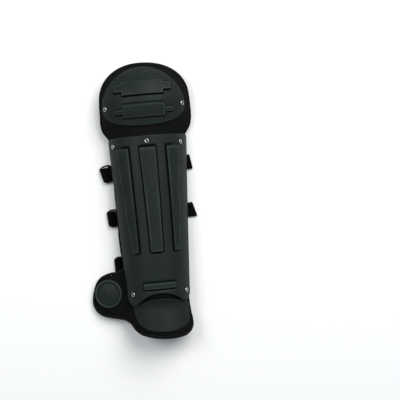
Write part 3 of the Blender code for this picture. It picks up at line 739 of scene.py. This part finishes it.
def nickel():
    """Bright nickel plate with fine scratches, a few duller spots and painted shade in the hollow."""
    r = Recipe(NICKEL)
    place = r.mapped("Object")
    spots = r.cloud(place, 260.0, 4.0)
    tint = r.ramp(spots, (0.35, (0.42, 0.41, 0.39, 1)), (0.65, (0.62, 0.61, 0.58, 1)))
    # Painted shade: near black in the hollow of the head
    r.finish(
        Base_Color=r.mix(r.layer("hollow"), tint, (0.02, 0.019, 0.018, 1)), Metallic=1.0,
        Roughness=r.add("MapRange", "Result", Value=spots, To_Min=0.16, To_Max=0.34),
        Normal=r.bump(r.cloud(place, 1400.0, 2.0), 0.06, 0.0001),
    )


def ring_paint(strap):
    """Black painted wire with the paint rubbed thin in spots."""
    r = Recipe(PAINT)
    spots = r.cloud(r.mapped("Object"), 320.0, 5.0, 0.7)
    r.finish(
        Base_Color=r.ramp(spots, (0.55, shade(strap.ring_colour)), (0.78, shade(strap.ring_colour, 5.0))),
        Normal=r.bump(spots, 0.12, 0.0002), Metallic=0.0, Roughness=0.36, IOR=1.2,
        Coat_Weight=0.06, Coat_Roughness=0.15,
    )


def sewing_thread():
    """Dull black thread with a slanting twist."""
    r = Recipe(THREAD)
    twist = r.bands(r.mapped("Object"), "DIAGONAL", 900.0, 1.0, 2.0)
    r.finish(
        Base_Color=r.ramp(twist, (0.2, shade(THREAD_COLOUR, 0.6)), (0.8, shade(THREAD_COLOUR, 1.3))),
        Normal=r.bump(twist, 0.3, 0.0001), Roughness=0.6, IOR=1.2,
    )


def floor_finish(stage):
    """Plain pale floor, hardly uneven."""
    r, colour = Recipe("studio_floor"), stage.floor_colour
    tint = r.ramp(r.cloud(r.mapped("Object"), 3.0, 3.0), (0.3, shade(colour, 0.995)), (0.7, shade(colour)))
    r.finish(Base_Color=tint, Roughness=0.9)
    return r.material


# Settings

def length(name, default, description):
    return bpy.props.FloatProperty(
        name=name, default=default, description=description, unit="LENGTH", min=0.0, precision=5
    )


def tone(name, default, description):
    return bpy.props.FloatVectorProperty(
        name=name, default=default, description=description, subtype="COLOR", size=3, min=0.0, max=1.0
    )


def power(name, default, description):
    return bpy.props.FloatProperty(name=name, default=default, description=description, unit="POWER", min=0.0)


class GuardShellSettings(bpy.types.PropertyGroup):
    plate: length("Plate thickness", 0.003, "Wall of the knee and shin plates")
    rib: length("Rib height", 0.003, "How far the long ribs of the shin plate stand out")
    band: length("Band height", 0.003, "How far the two bands of the knee plate stand out")
    wall: length("Slope of a rib's side", 0.002, "Width of the slope between a plate and the top of a rib")
    rim: length("Rounding of the rim", 0.0012, "Radius along the outer edge of each plate")
    colour: tone("Plastic colour", (0.0096, 0.0142, 0.0132), "Colour of the moulded plates")
    roughness: bpy.props.FloatProperty(
        name="Plastic roughness", default=0.42, description="How dull the plates are",
        subtype="FACTOR", min=0.1, max=0.9,
    )


class GuardPadSettings(bpy.types.PropertyGroup):
    thickness: length("Pad thickness", 0.010, "Foam and cloth together")
    lobe: length("Lobe thickness", 0.008, "Foam and cloth over the ankle")
    binding: length("Binding width", 0.006, "Width of the folded tape seen from above")
    pitch: length("Stitch length", 0.0042, "Distance from one stitch to the next")
    colour: tone("Cloth colour", (0.0108, 0.0112, 0.0110), "Colour of the pad's cover")
    tape_colour: tone("Tape colour", (0.0094, 0.0108, 0.0114), "Colour of the binding")


class GuardStrapSettings(bpy.types.PropertyGroup):
    width: length("Webbing width", 0.030, "Width of the straps")
    thickness: length("Webbing thickness", 0.002, "Thickness of one layer")
    colour: tone("Webbing colour", (0.0044, 0.0044, 0.0047), "Colour of the straps and tabs")
    ring_colour: tone("Ring colour", (0.0036, 0.0036, 0.004), "Colour of the loop rings")


class GuardStageSettings(bpy.types.PropertyGroup):
    distance: length("Camera height", 2.44, "Height of the camera over the floor")
    floor_colour: tone("Floor colour", (0.93, 0.93, 0.93), "Colour of the plain floor")
    top: power("Top light", 78.0, "Power of the big light above")
    key: power("Key light", 24.0, "Power of the light on the outer side")
    sky: bpy.props.FloatProperty(
        name="Room light", default=0.27, description="Strength of the even light all round", min=0.0
    )


def mm(*lengths):
    """Settings in metres as the guard's own millimetres."""
    return [v * 1000 for v in lengths]


# The plates

def rounded_inside(a, b, corner):
    """Depth inside a shape whose two pairs of sides are a and b deep, with rounded corners."""
    if a < corner and b < corner:
        return corner - hypot(corner - a, corner - b)
    return min(a, b)


def rim_drop(depth, radius):
    """How far a rounded rim lies under the face at this depth from the edge."""
    t = max(0.0, 1 - depth / radius)
    return radius * (1 - sqrt(max(0.0, 1 - t * t)))


def underside(rim):
    """Height of a plate's inner face, a little rounded at its rim."""
    return lambda s, y, depth: PLATE_GAP + 0.3 * rim_drop(depth, rim)


def raised(inside, rise, wall):
    """Height of a raised form at this depth inside its outline, with the fine groove along its foot."""
    groove = GROOVE * (ease(-2.2, -1.1, inside) - ease(-1.0, 0.0, inside))
    return rise * ease(-0.6, wall - 0.2, inside) - groove


def edge_glint_and_scuff(inside, wall, depth, width):
    """Pale line along the upper edge of a raised form, and less over a width of the plate's rim, from 0 to 1:
    scuffs with a painted highlight.
    """
    edge = max(0.0, 1 - abs(inside - wall) / (wall * 0.4))
    return min(1.0, 0.7 * edge + 0.5 * max(0.0, 1 - depth / width))


def painted_foot_shade(inside, wall):
    """Painted shade in the groove and low on the slope of a raised form, from 0 to 1."""
    return max(0.0, ease(-2.2, -1.4, inside) - ease(wall * 0.4, wall * 0.85, inside))


def spread(low, high, step):
    count = max(1, round((high - low) / step))
    return [low + (high - low) * k / count for k in range(count + 1)]


class GUARD_OT_knee_plate(bpy.types.Operator):
    """Build the domed knee plate with its two raised bands"""

    bl_idname = "guard.knee_plate"
    bl_label = "Knee plate"

    def execute(self, context):
        shell = context.scene.guard_shell
        thick, rise, wall, rim = mm(shell.plate, shell.band, shell.wall, shell.rim)
        level = PLATE_GAP + thick
        band, tab = (
            {side: abs(round_from(side * half, BAND_LEVEL, level)) for side in (LEFT, RIGHT)}
            for half in (BAND_HALF, TAB_HALF)
        )
        middles = [(row[0] + row[3]) / 2 for row in KNEE_BANDS]

        def inside(s, y):
            deepest = FAR_OUT
            for y0, y1, y2, y3 in KNEE_BANDS:
                for edge, low, high in ((band, y0, y3), (tab, y1, y2)):
                    across = edge[side_of(s)] - abs(s)
                    deepest = max(deepest, rounded_inside(across, min(y - low, high - y), BAND_CORNER))
            return deepest

        def top(s, y, depth):
            d = inside(s, y)
            middle = min(middles, key=lambda m: abs(y - m))
            # Painted shade: strongest on the foot side of each band, the side turned from the light at the
            # knee end, faint on the knee side
            foot_shade = painted_foot_shade(d, wall) * (0.15 + 0.85 * ease(middle + 4, middle - 4, y))
            return level + raised(d, rise, wall) - rim_drop(depth, rim), edge_glint_and_scuff(d, wall, depth, 1.5), foot_shade

        y_cuts = spread(*KNEE_ROWS)
        for low, inner_low, inner_high, high in KNEE_BANDS:
            y_cuts += [y + o for y in (low, inner_low) for o in RAISED_CUTS]
            y_cuts += [y - o for y in (inner_high, high) for o in RAISED_CUTS]
        s_cuts = spread(*KNEE_COLUMNS)
        for edge in (band, tab):
            for o in RAISED_CUTS:
                s_cuts += [edge[RIGHT] - o, o - edge[LEFT]]
        bm, depth = flat_sheet(knee_outline(level), RIM_STEPS, s_cuts, y_cuts)
        lay(bm, depth, top, underside(rim), False)
        piece("knee_shell", bm, PLASTIC, ["knee_plate"])
        return {"FINISHED"}


class GUARD_OT_shin_plate(bpy.types.Operator):
    """Build the shin plate with its three tapering ribs and the short band over the ankle"""

    bl_idname = "guard.shin_plate"
    bl_label = "Shin plate"

    def execute(self, context):
        shell = context.scene.guard_shell
        thick, rise, wall, rim = mm(shell.plate, shell.rib, shell.wall, shell.rim)
        level = PLATE_GAP + thick
        middle, inner, outer = (
            (round_from(top, RIB_TOP, level, True), round_from(low, RIB_BOTTOM, level, True))
            for top, low in (MIDDLE_RIB, *SIDE_RIB)
        )
        far_middle, far_inner, far_outer = ((-top, -low) for top, low in (middle, inner, outer))
        ribs = ((far_middle, middle), (inner, outer), (far_outer, far_inner))
        cross = round_from(CROSS_HALF, CROSS_LEVEL, level, True)

        def at(line, y):
            return line[0] + (line[1] - line[0]) * ((RIB_TOP - y) / (RIB_TOP - RIB_BOTTOM))

        def inside(s, y):
            ends = min((y - RIB_BOTTOM) * RIB_END_SLOPE[0], (RIB_TOP - y) * RIB_END_SLOPE[1])
            deepest = rounded_inside(cross - abs(s), min(y - CROSS_BAND[0], CROSS_BAND[1] - y), CROSS_CORNER)
            for left, right in ribs:
                across = min(s - at(left, y), at(right, y) - s)
                deepest = max(deepest, rounded_inside(across, ends, RIB_CORNER))
            return deepest

        def top(s, y, depth):
            d = inside(s, y)
            side_rib = (at(inner, y) + at(outer, y)) / 2
            # Painted shade at the feet of the ribs and the band, weaker on the outer side of each side rib,
            # which faces the side light
            foot_shade = painted_foot_shade(d, wall) * (1 - 0.65 * ease(side_rib - 3, side_rib + 3, abs(s)))
            return level + raised(d, rise, wall) - rim_drop(depth, rim), edge_glint_and_scuff(d, wall, depth, 1.6), foot_shade

        y_cuts = spread(*SHIN_ROWS)
        for y, factor in ((RIB_TOP, -2.0), (RIB_BOTTOM, 1.4), (CROSS_BAND[0], 1), (CROSS_BAND[1], -1)):
            y_cuts += [y + factor * o for o in RAISED_CUTS]
        slants = []
        for left, right in ribs:
            for o in RAISED_CUTS:
                for line, move in ((left, o), (right, -o)):
                    ends = (line[0] + move, RIB_TOP), (line[1] + move, RIB_BOTTOM)
                    slants.append((*ends, (RIB_BOTTOM - 1, RIB_TOP + 1)))
        for side in (-1, 1):
            for o in RAISED_CUTS:
                s = side * (cross - o)
                slants.append(((s, 0), (s, 1), (CROSS_BAND[0] - 1, CROSS_BAND[1] + 1)))
        bm, depth = flat_sheet(shin_outline(level), RIM_STEPS, spread(*SHIN_COLUMNS), y_cuts, slants)
        lay(bm, depth, top, underside(rim), True)
        piece("shin_shell", bm, PLASTIC, ["shin_plate"])
        return {"FINISHED"}


class GUARD_OT_instep_plate(bpy.types.Operator):
    """Build the plain plate over the instep"""

    bl_idname = "guard.instep_plate"
    bl_label = "Instep plate"

    def execute(self, context):
        level, rim = PLATE_GAP + INSTEP_WALL, context.scene.guard_shell.rim * 1000

        def top(s, y, depth):
            # Pale rim line: scuffs with a painted highlight. Painted shade lies evenly over the whole plate
            return level - rim_drop(depth, rim), 0.7 * max(0.0, 1 - depth / 1.5), INSTEP_PAINTED_SHADE

        s_cuts, y_cuts = spread(*INSTEP_COLUMNS), spread(*INSTEP_ROWS)
        bm, depth = flat_sheet(instep_outline(level), RIM_STEPS, s_cuts, y_cuts)
        lay(bm, depth, top, underside(rim), False)
        piece("instep_shell", bm, PLASTIC, ["instep_plate"])
        return {"FINISHED"}


class GUARD_OT_ankle_disc(bpy.types.Operator):
    """Build the round cap on the ankle lobe, with its raised rim"""

    bl_idname = "guard.ankle_disc"
    bl_label = "Ankle disc"

    def execute(self, context):
        x, y = DISC_SPOT
        s = round_from_above(x, y)
        centre, axes = surface(s, y), axes_at(s, y)
        bm = bmesh.new()
        edge = [(DISC_RADIUS - inwards, high) for inwards, high in DISC_EDGE]
        turned(bm, centre, axes, [(0, edge[0][1]), *edge, *DISC_DOME], 0.7, 96)
        wear, grime = layers(bm, "wear", "grime")
        for vert in bm.verts:
            height, reach = height_and_reach(vert, centre, axes[2])
            inwards = DISC_RADIUS - reach
            # The pale ring on the rim is a painted highlight together with scuffs; painted shade lies in the
            # groove inside it
            on_rim = 1.5 * (1 - abs(inwards - DISC_RIM) / 1.8) if height > 5.0 else 0.0
            vert[wear] = min(1.0, max(DISC_PALE_SHARE, on_rim))
            vert[grime] = 0.8 * max(0.0, 1 - abs(inwards - DISC_GROOVE) / 1.6)
        mark_sharp(piece("ankle_cap", bm, PLASTIC, ["ankle_disc"]), 60)
        return {"FINISHED"}


class GUARD_OT_rivets(bpy.types.Operator):
    """Build the nickel rivets of the knee and shin plates"""

    bl_idname = "guard.rivets"
    bl_label = "Rivets"

    def execute(self, context):
        level = PLATE_GAP + context.scene.guard_shell.plate * 1000 + 0.25
        for name, x, y, plate in RIVETS:
            s = round_from(x, y, level, plate)
            centre, axes = skin(s, y, level, plate), axes_at(s, y, plate)
            bm = bmesh.new()
            turned(bm, centre, axes, RIVET_PROFILE, 0.5, 40)
            hollow, = layers(bm, "hollow")
            for vert in bm.verts:
                height, reach = height_and_reach(vert, centre, axes[2])
                # Painted shade: the hollow in the middle of the head is made near black
                vert[hollow] = ease(2.7, 2.1, reach) * ease(0.1, 0.3, height)
            mark_sharp(piece(f"rivet_head_{name}", bm, NICKEL, [f"rivet_{name}"]), 60)
        return {"FINISHED"}


# The pad, its binding and the stitches

def pad_depth(pad, s, y):
    """Thickness of the pad, less on the ankle lobe."""
    full, lobe = mm(pad.thickness, pad.lobe)
    return full - (full - lobe) * ease(84, 96, -s) * station(y, False, LEFT)[5]


def pad_folds(s, y):
    """Height of the creases where the pad bends, at the knee, the ankle and the foot of the lobe."""
    knee = 0.35 * sin(y / 2.1 + 0.7 * ripple(s, y, 30)) * ease(152, 160, y) * ease(184, 174, y)
    ankle = 0.5 * sin(y / 1.9 + 0.9 * ripple(s, y, 24, 5)) * ease(-196, -188, y) * ease(-168, -176, y)
    lobe = -0.5 * ease(-84, -92, s) * ease(-102, -110, s) * station(y, False, LEFT)[5]
    return knee + ankle + lobe


class GUARD_OT_pad(bpy.types.Operator):
    """Build the cloth-covered foam pad from the knee to the instep, with its ankle lobe"""

    bl_idname = "guard.pad"
    bl_label = "Pad"

    def execute(self, context):
        pad = context.scene.guard_pad
        outline = inset(evenly(spline(pad_outline(), 4.0), 4.0), pad.binding * 1000 + 0.3)

        def top(s, y, depth):
            sunk = -1.3 * (1 - ease(0.0, 6.5, depth)) + 0.25 * ease(3.0, 6.6, depth)
            return sunk + 0.3 * ripple(s, y, 26) + 0.12 * ripple(s, y, 9, 3) + pad_folds(s, y) - 0.2, 0.0, 0.0

        def bottom(s, y, depth):
            sunk = 1.3 * (1 - ease(0.0, 6.5, depth))
            soft = 0.4 * ripple(s, y, 34, 7) + 0.15 * ripple(s, y, 10, 9)
            return sunk + soft - pad_depth(pad, s, y) + 0.3 * pad_folds(s, y)

        bm, depth = flat_sheet(outline, PAD_RIM_STEPS, spread(*PAD_COLUMNS), spread(*PAD_ROWS))
        lay(bm, depth, top, bottom, False)
        write_uv(bm, bm.verts.layers.float["across"], bm.verts.layers.float["along"])
        thing = piece("padding", bm, CLOTH, PAD_NODES)
        return {"FINISHED"}


def beside(outline, i, amount):
    """A point this far inwards of one point of an outline."""
    (ax, ay), (bx, by), (cx, cy) = outline[i - 1], outline[i], outline[(i + 1) % len(outline)]
    dx, dy = cx - ax, cy - ay
    long = hypot(dx, dy)
    return bx - dy / long * amount, by + dx / long * amount


class GUARD_OT_binding(bpy.types.Operator):
    """Build the folded tape round the pad's edge and the two rows of stitches that hold it"""

    bl_idname = "guard.binding"
    bl_label = "Binding"

    def execute(self, context):
        pad = context.scene.guard_pad
        width, pitch = mm(pad.binding, pad.pitch)
        outline = evenly(spline(pad_outline(), 4.0), 3.4)
        # Depth from the edge and height over the face, from the tape's inner edge out to the turn
        profile = [(width + 0.1, 0.1), (width - 0.2, 0.55), (width - 1.6, 0.8), (width - 3.4, 0.62)]
        profile += [(width - 5.0, -0.15), (0.25, -1.6)]
        folded = [(high, inset(outline, depth)) for depth, high in profile]
        lengths = running(outline)
        total = lengths[-1] + dist(outline[-1], outline[0])

        def section(i):
            thick = pad_depth(pad, *outline[i])
            pucker = 0.14 * sin(lengths[i] * 1.45) + 0.2 * ripple(*outline[i], 11, 2)
            highs = [(high + pucker * max(0.0, high), path[i]) for high, path in folded]
            upper = [skin(*place, high) for high, place in highs]
            turn = skin(*beside(outline, i, -0.15 + 0.1 * pucker), -thick / 2)
            return [*upper, turn, *(skin(*place, -thick - high) for high, place in reversed(highs))]

        bm = bmesh.new()
        along, across = layers(bm, "along", "across")
        for i, ring in enumerate(swept(bm, len(outline), section)):
            reach = 0.0
            for k, vert in enumerate(ring):
                if k:
                    reach += (vert.co - ring[k - 1].co).length
                vert[along], vert[across] = lengths[i], reach
        write_uv(bm, along, across, total)
        piece("edge_tape", bm, TAPE, ["pad_binding"])

        bm = bmesh.new()
        line = evenly(inset(outline, width - 1.3), pitch)
        for k, (s, y) in enumerate(line):
            ahead = line[(k + 1) % len(line)]
            for high in (0.86, -pad_depth(pad, s, y) - 0.86):
                a, b = skin(s, y, high), skin(*ahead, high)
                way = (b - a).normalized()
                stitch(bm, (a + b) / 2, way, way.cross(normal(s, y)).normalized(), pitch * 0.37)
        piece("binding_stitches", bm, THREAD)
        return {"FINISHED"}


# Straps, tabs and rings

def inner_wall(y, angle, thick):
    """Where webbing lies against the inside of the pad, as (x, z), at this turn from the crest."""
    s = station(y, False, side_of(angle))[0] * radians(angle)
    place = skin(s, y, -WALL_DEPTH - thick / 2)
    return place.x, place.z


def arc_points(cx, cz, r, start, end, count):
    turns = (radians(start + (end - start) * k / count) for k in range(count + 1))
    return [(cx + r * cos(turn), cz + r * sin(turn)) for turn in turns]


def ribbon(name, line, strap, y_at, turn_at, replaces, seams):
    """Webbing along a line of (x, z) points, turned by turn_at: a grid with a thickness and round edges.

    seams are rows of stitches: how far along, from the end where negative, and on which side."""
    width, thickness = mm(strap.width, strap.thickness)
    line = evenly(spline(line, 2.0, closed=False), 2.2, closed=False)
    count, step = len(line), running(line)
    normals = []
    for i in range(count):
        (ax, az), (bx, bz) = line[max(i - 1, 0)], line[min(i + 1, count - 1)]
        long = hypot(bx - ax, bz - az)
        normals.append((-(bz - az) / long, (bx - ax) / long))

    bm = bmesh.new()
    bmesh.ops.create_grid(bm, x_segments=count - 1, y_segments=WEBBING_ROWS, size=0.5)
    along, across = layers(bm, "along", "across")
    lower = bm.verts[:]
    upper = new_verts(bmesh.ops.extrude_face_region(bm, geom=bm.faces[:]))
    for vert, side in [(v, 1) for v in upper] + [(v, -1) for v in lower]:
        i = round((vert.co.x + 0.5) * (count - 1))
        w = 2 * vert.co.y
        x, z = line[i]
        nx, nz = normals[i]
        edge = sqrt(max(0.0, 1 - max(0.0, (abs(w) - 0.9) / 0.1) ** 2))
        half = thickness / 2 * (0.45 + 0.55 * edge) * side
        reach, turn = w * width / 2, turn_at(x, z)
        vert.co = (x - reach * sin(turn) + nx * half, y_at(x) + reach * cos(turn), z + nz * half)
        vert[along], vert[across] = step[i], reach
    write_uv(bm, along, across)
    piece(name, bm, WEBBING, replaces)

    bm = bmesh.new()
    for reach, side in seams:
        want = reach if reach >= 0 else step[-1] + reach
        i = min(range(count), key=lambda k: abs(step[k] - want))
        x, z = line[i]
        up = Vector((normals[i][0], 0, normals[i][1])) * side
        way = Vector((-sin(turn_at(x, z)), cos(turn_at(x, z)), 0))
        for k in range(SEAM_STITCHES):
            w = -1 + 2 * (k + 0.5) / SEAM_STITCHES
            middle = Vector((x, y_at(x), z)) + way * (w * (width / 2 - 2)) + up * (thickness / 2 + 0.05)
            stitch(bm, middle, way, way.cross(up), 1.35, 0.36)
    piece(f"{name}_stitches", bm, THREAD)


def strap_lie(row):
    """Where a strap's middle lies along the guard and how it is turned, at a point (x, z) of its line."""
    _, y_ring, bar, ring_turn, y_fold, reach, fold_turn = row
    slope = (y_fold - y_ring) / (80 - bar)
    at_ring, at_fold = radians(ring_turn), radians(fold_turn)

    def y_at(x):
        return y_ring + slope * (x - bar)

    def turn_at(x, z):
        if x < 0:
            return at_ring * ease(0, bar + 22, x)
        return at_fold * ease(20, reach - 12, x) * ease(6.5, 4.0, z)

    return y_at, turn_at


def strap_line(row, thick, turn):
    """A strap from the pad's inner wall, under the guard and round the ring's outer bar, back on itself."""
    _, _, bar, _, y_fold, reach, _ = row
    line = [inner_wall(y_fold, angle, thick) for angle in (55, 61, 67)]
    end, high = line[-1]
    if reach:
        # Out past the rim, where the end is folded under
        line += [(end + 0.6, max(6.0, high - 4.5)), (end + 2.2, 3.6), (end + 6, 3.4)]
        line += [(reach - 12, 3.6), (reach - 5, 4.6), (reach - 1.6, 3.8)]
        line += [(reach - 1.4, 2.0), (reach - 5, 1.05), (reach - 14, 1.0)]
    else:
        line += [(end + 0.6, high - 3.5), (end + 0.8, 7), (end - 0.6, 3.2), (end - 4, 1.4)]
        line += [(end - 9, 1.0), (end - 16, 1.0)]
    line += [(20, 1.0), (bar + 30, 1.0), (bar + 16, 1.1), (bar + 7, 2.2)]
    line += arc_points(bar, BAR_HEIGHT, turn, -75, -285, 8)
    line += [(bar + 4.2, 9.6), (bar + 7.8, 7.3), (bar + 12, 5.0)]
    return line + [(bar + 17, 3.7), (bar + 24, 3.35), (bar + 40, 3.35)]


def ring_frame(row):
    """Middle of a ring, its axes across the strap's way and along the guard, and half its way across."""
    _, y_ring, bar, ring_turn = row[:4]
    at_ring, rise = radians(ring_turn), atan2(RING_RISE, RING_ACROSS)
    level = Vector((cos(at_ring), sin(at_ring), 0))
    across = level * cos(rise) + Vector((0, 0, sin(rise)))
    along = Vector((-sin(at_ring), cos(at_ring), 0))
    half = hypot(RING_ACROSS, RING_RISE) / 2
    return Vector((bar, y_ring, BAR_HEIGHT)) + across * half, across, along, half


class GUARD_OT_straps(bpy.types.Operator):
    """Build the webbing straps and the tabs that hold the rings"""

    bl_idname = "guard.straps"
    bl_label = "Straps and tabs"

    def execute(self, context):
        strap = context.scene.guard_strap
        thick = strap.thickness * 1000
        turn = WIRE + 0.3 + thick / 2
        for row in STRAPS:
            name, ring_turn = row[0], radians(row[3])
            line = strap_line(row, thick, turn)
            ribbon(f"webbing_{name}", line, strap, *strap_lie(row), [f"strap_{name}"], STRAP_SEAMS)

            centre, across, _, half = ring_frame(row)
            bar = centre + across * half
            wall = [inner_wall(bar.y, angle, thick) for angle in (-50, -59, -67)]
            line = wall + [(wall[-1][0] + 1, 14.6)]
            line += arc_points(bar.x, bar.z, turn + 0.2, 75, 285, 8)
            line += [(bar.x + 6, bar.z - 2.6)]

            def tab_turn(x, z, loose=wall[1][0], held=bar.x + 6, most=ring_turn):
                return most * ease(loose, held, x)

            def tab_at(x, y=bar.y):
                return y

            ribbon(f"ring_tab_{name}", line, strap, tab_at, tab_turn, [f"tab_{name}"], TAB_SEAMS)
        return {"FINISHED"}


class GUARD_OT_rings(bpy.types.Operator):
    """Build the three rectangular loop rings on the outer side"""

    bl_idname = "guard.rings"
    bl_label = "Loop rings"

    def execute(self, context):
        for row in STRAPS:
            centre, across, along, half_x = ring_frame(row)
            up = across.cross(along)
            path = []
            reach_x, reach_y = half_x - RING_CORNER, RING_HALF - RING_CORNER
            for sx, sy, begin in ((1, 1, 0), (-1, 1, 90), (-1, -1, 180), (1, -1, 270)):
                corner = centre + across * (sx * reach_x) + along * (sy * reach_y)
                for k in range(7):
                    angle = radians(begin + 15 * k)
                    out = across * cos(angle) + along * sin(angle)
                    path.append((corner + out * RING_CORNER, out))

            def section(i, path=path, up=up):
                middle, out = path[i]
                turns = (pi * k / 6 for k in range(12))
                return [middle + (out * cos(turn) + up * sin(turn)) * WIRE for turn in turns]

            bm = bmesh.new()
            swept(bm, len(path), section)
            piece(f"loop_{row[0]}", bm, PAINT, [f"ring_{row[0]}"])
        return {"FINISHED"}


# Finishes, stage and panel

class GUARD_OT_materials(bpy.types.Operator):
    """Make the plastic, cloth, tape, webbing, thread and metal finishes"""

    bl_idname = "guard.materials"
    bl_label = "Finishes"

    def execute(self, context):
        scene = context.scene
        moulded_plastic(scene.guard_shell)
        pad_fabric(scene.guard_pad)
        ribbed_tape(TAPE, scene.guard_pad.tape_colour, 330.0, 700.0)
        ribbed_tape(WEBBING, scene.guard_strap.colour, 240.0, 500.0)
        nickel()
        ring_paint(scene.guard_strap)
        sewing_thread()
        return {"FINISHED"}


def soft_light(name, watts, place, aim, size):
    light = bpy.data.lights.new(name, "AREA")
    light.shape, light.size, light.energy = "SQUARE", size, watts
    lamp = bpy.data.objects.new(name, light)
    lamp.location = place
    lamp.rotation_euler = (Vector(aim) - Vector(place)).to_track_quat("-Z", "Y").to_euler()
    bpy.context.scene.collection.objects.link(lamp)


class GUARD_OT_stage(bpy.types.Operator):
    """Set the pale floor, the soft lights and the camera straight above"""

    bl_idname = "guard.stage"
    bl_label = "Stage"

    def execute(self, context):
        scene, stage = context.scene, context.scene.guard_stage
        bm = bmesh.new()
        bmesh.ops.create_grid(bm, x_segments=2, y_segments=2, size=6.0)
        mesh = bpy.data.meshes.new("studio_floor")
        bm.to_mesh(mesh)
        bm.free()
        mesh.materials.append(floor_finish(stage))
        floor = bpy.data.objects.new("studio_floor", mesh)
        scene.collection.objects.link(floor)

        scene.world = bpy.data.worlds.new("studio")
        scene.world.use_nodes = True
        sky = scene.world.node_tree.nodes["Background"]
        sky.inputs["Color"].default_value = SKY_COLOUR
        sky.inputs["Strength"].default_value = stage.sky
        soft_light("top_light", stage.top, *TOP_LIGHT)
        soft_light("key_light", stage.key, *KEY_LIGHT)

        camera = bpy.data.cameras.new("camera")
        camera.sensor_width = SENSOR
        camera.lens = SENSOR / 2 / (VIEW_HALF / (stage.distance - VIEW_LEVEL))
        camera.clip_end = 20.0
        eye = bpy.data.objects.new("camera", camera)
        eye.location = (*CAMERA_SPOT, stage.distance)
        eye.rotation_euler = (0, 0, radians(CAMERA_TURN))
        scene.collection.objects.link(eye)
        scene.camera = eye
        scene.view_settings.view_transform = "Standard"
        return {"FINISHED"}


class GUARD_PT_panel(bpy.types.Panel):
    """The guard's pieces and their settings"""

    bl_idname = "GUARD_PT_panel"
    bl_label = "Leg Guard"
    bl_space_type = "VIEW_3D"
    bl_region_type = "UI"
    bl_category = "Leg Guard"

    def draw(self, context):
        for group in SETTINGS:
            settings = getattr(context.scene, group)
            box = self.layout.box()
            for name in settings.bl_rna.properties.keys():
                if name not in ("rna_type", "name"):
                    box.prop(settings, name)
        for operator in OPERATORS:
            self.layout.operator(operator.bl_idname)


SETTINGS = {
    "guard_shell": GuardShellSettings,
    "guard_pad": GuardPadSettings,
    "guard_strap": GuardStrapSettings,
    "guard_stage": GuardStageSettings,
}
OPERATORS = (
    GUARD_OT_materials, GUARD_OT_knee_plate, GUARD_OT_shin_plate, GUARD_OT_instep_plate, GUARD_OT_ankle_disc,
    GUARD_OT_rivets, GUARD_OT_pad, GUARD_OT_binding, GUARD_OT_straps, GUARD_OT_rings, GUARD_OT_stage,
)
CLASSES = (*SETTINGS.values(), *OPERATORS, GUARD_PT_panel)


def register():
    for each in CLASSES:
        bpy.utils.register_class(each)
    for name, group in SETTINGS.items():
        setattr(bpy.types.Scene, name, bpy.props.PointerProperty(type=group))


def unregister():
    for name in SETTINGS:
        delattr(bpy.types.Scene, name)
    for each in reversed(CLASSES):
        bpy.utils.unregister_class(each)


def main():
    register()
    for operator in OPERATORS:
        group, name = operator.bl_idname.split(".")
        getattr(getattr(bpy.ops, group), name)()


if __name__ == "__main__":
    main()
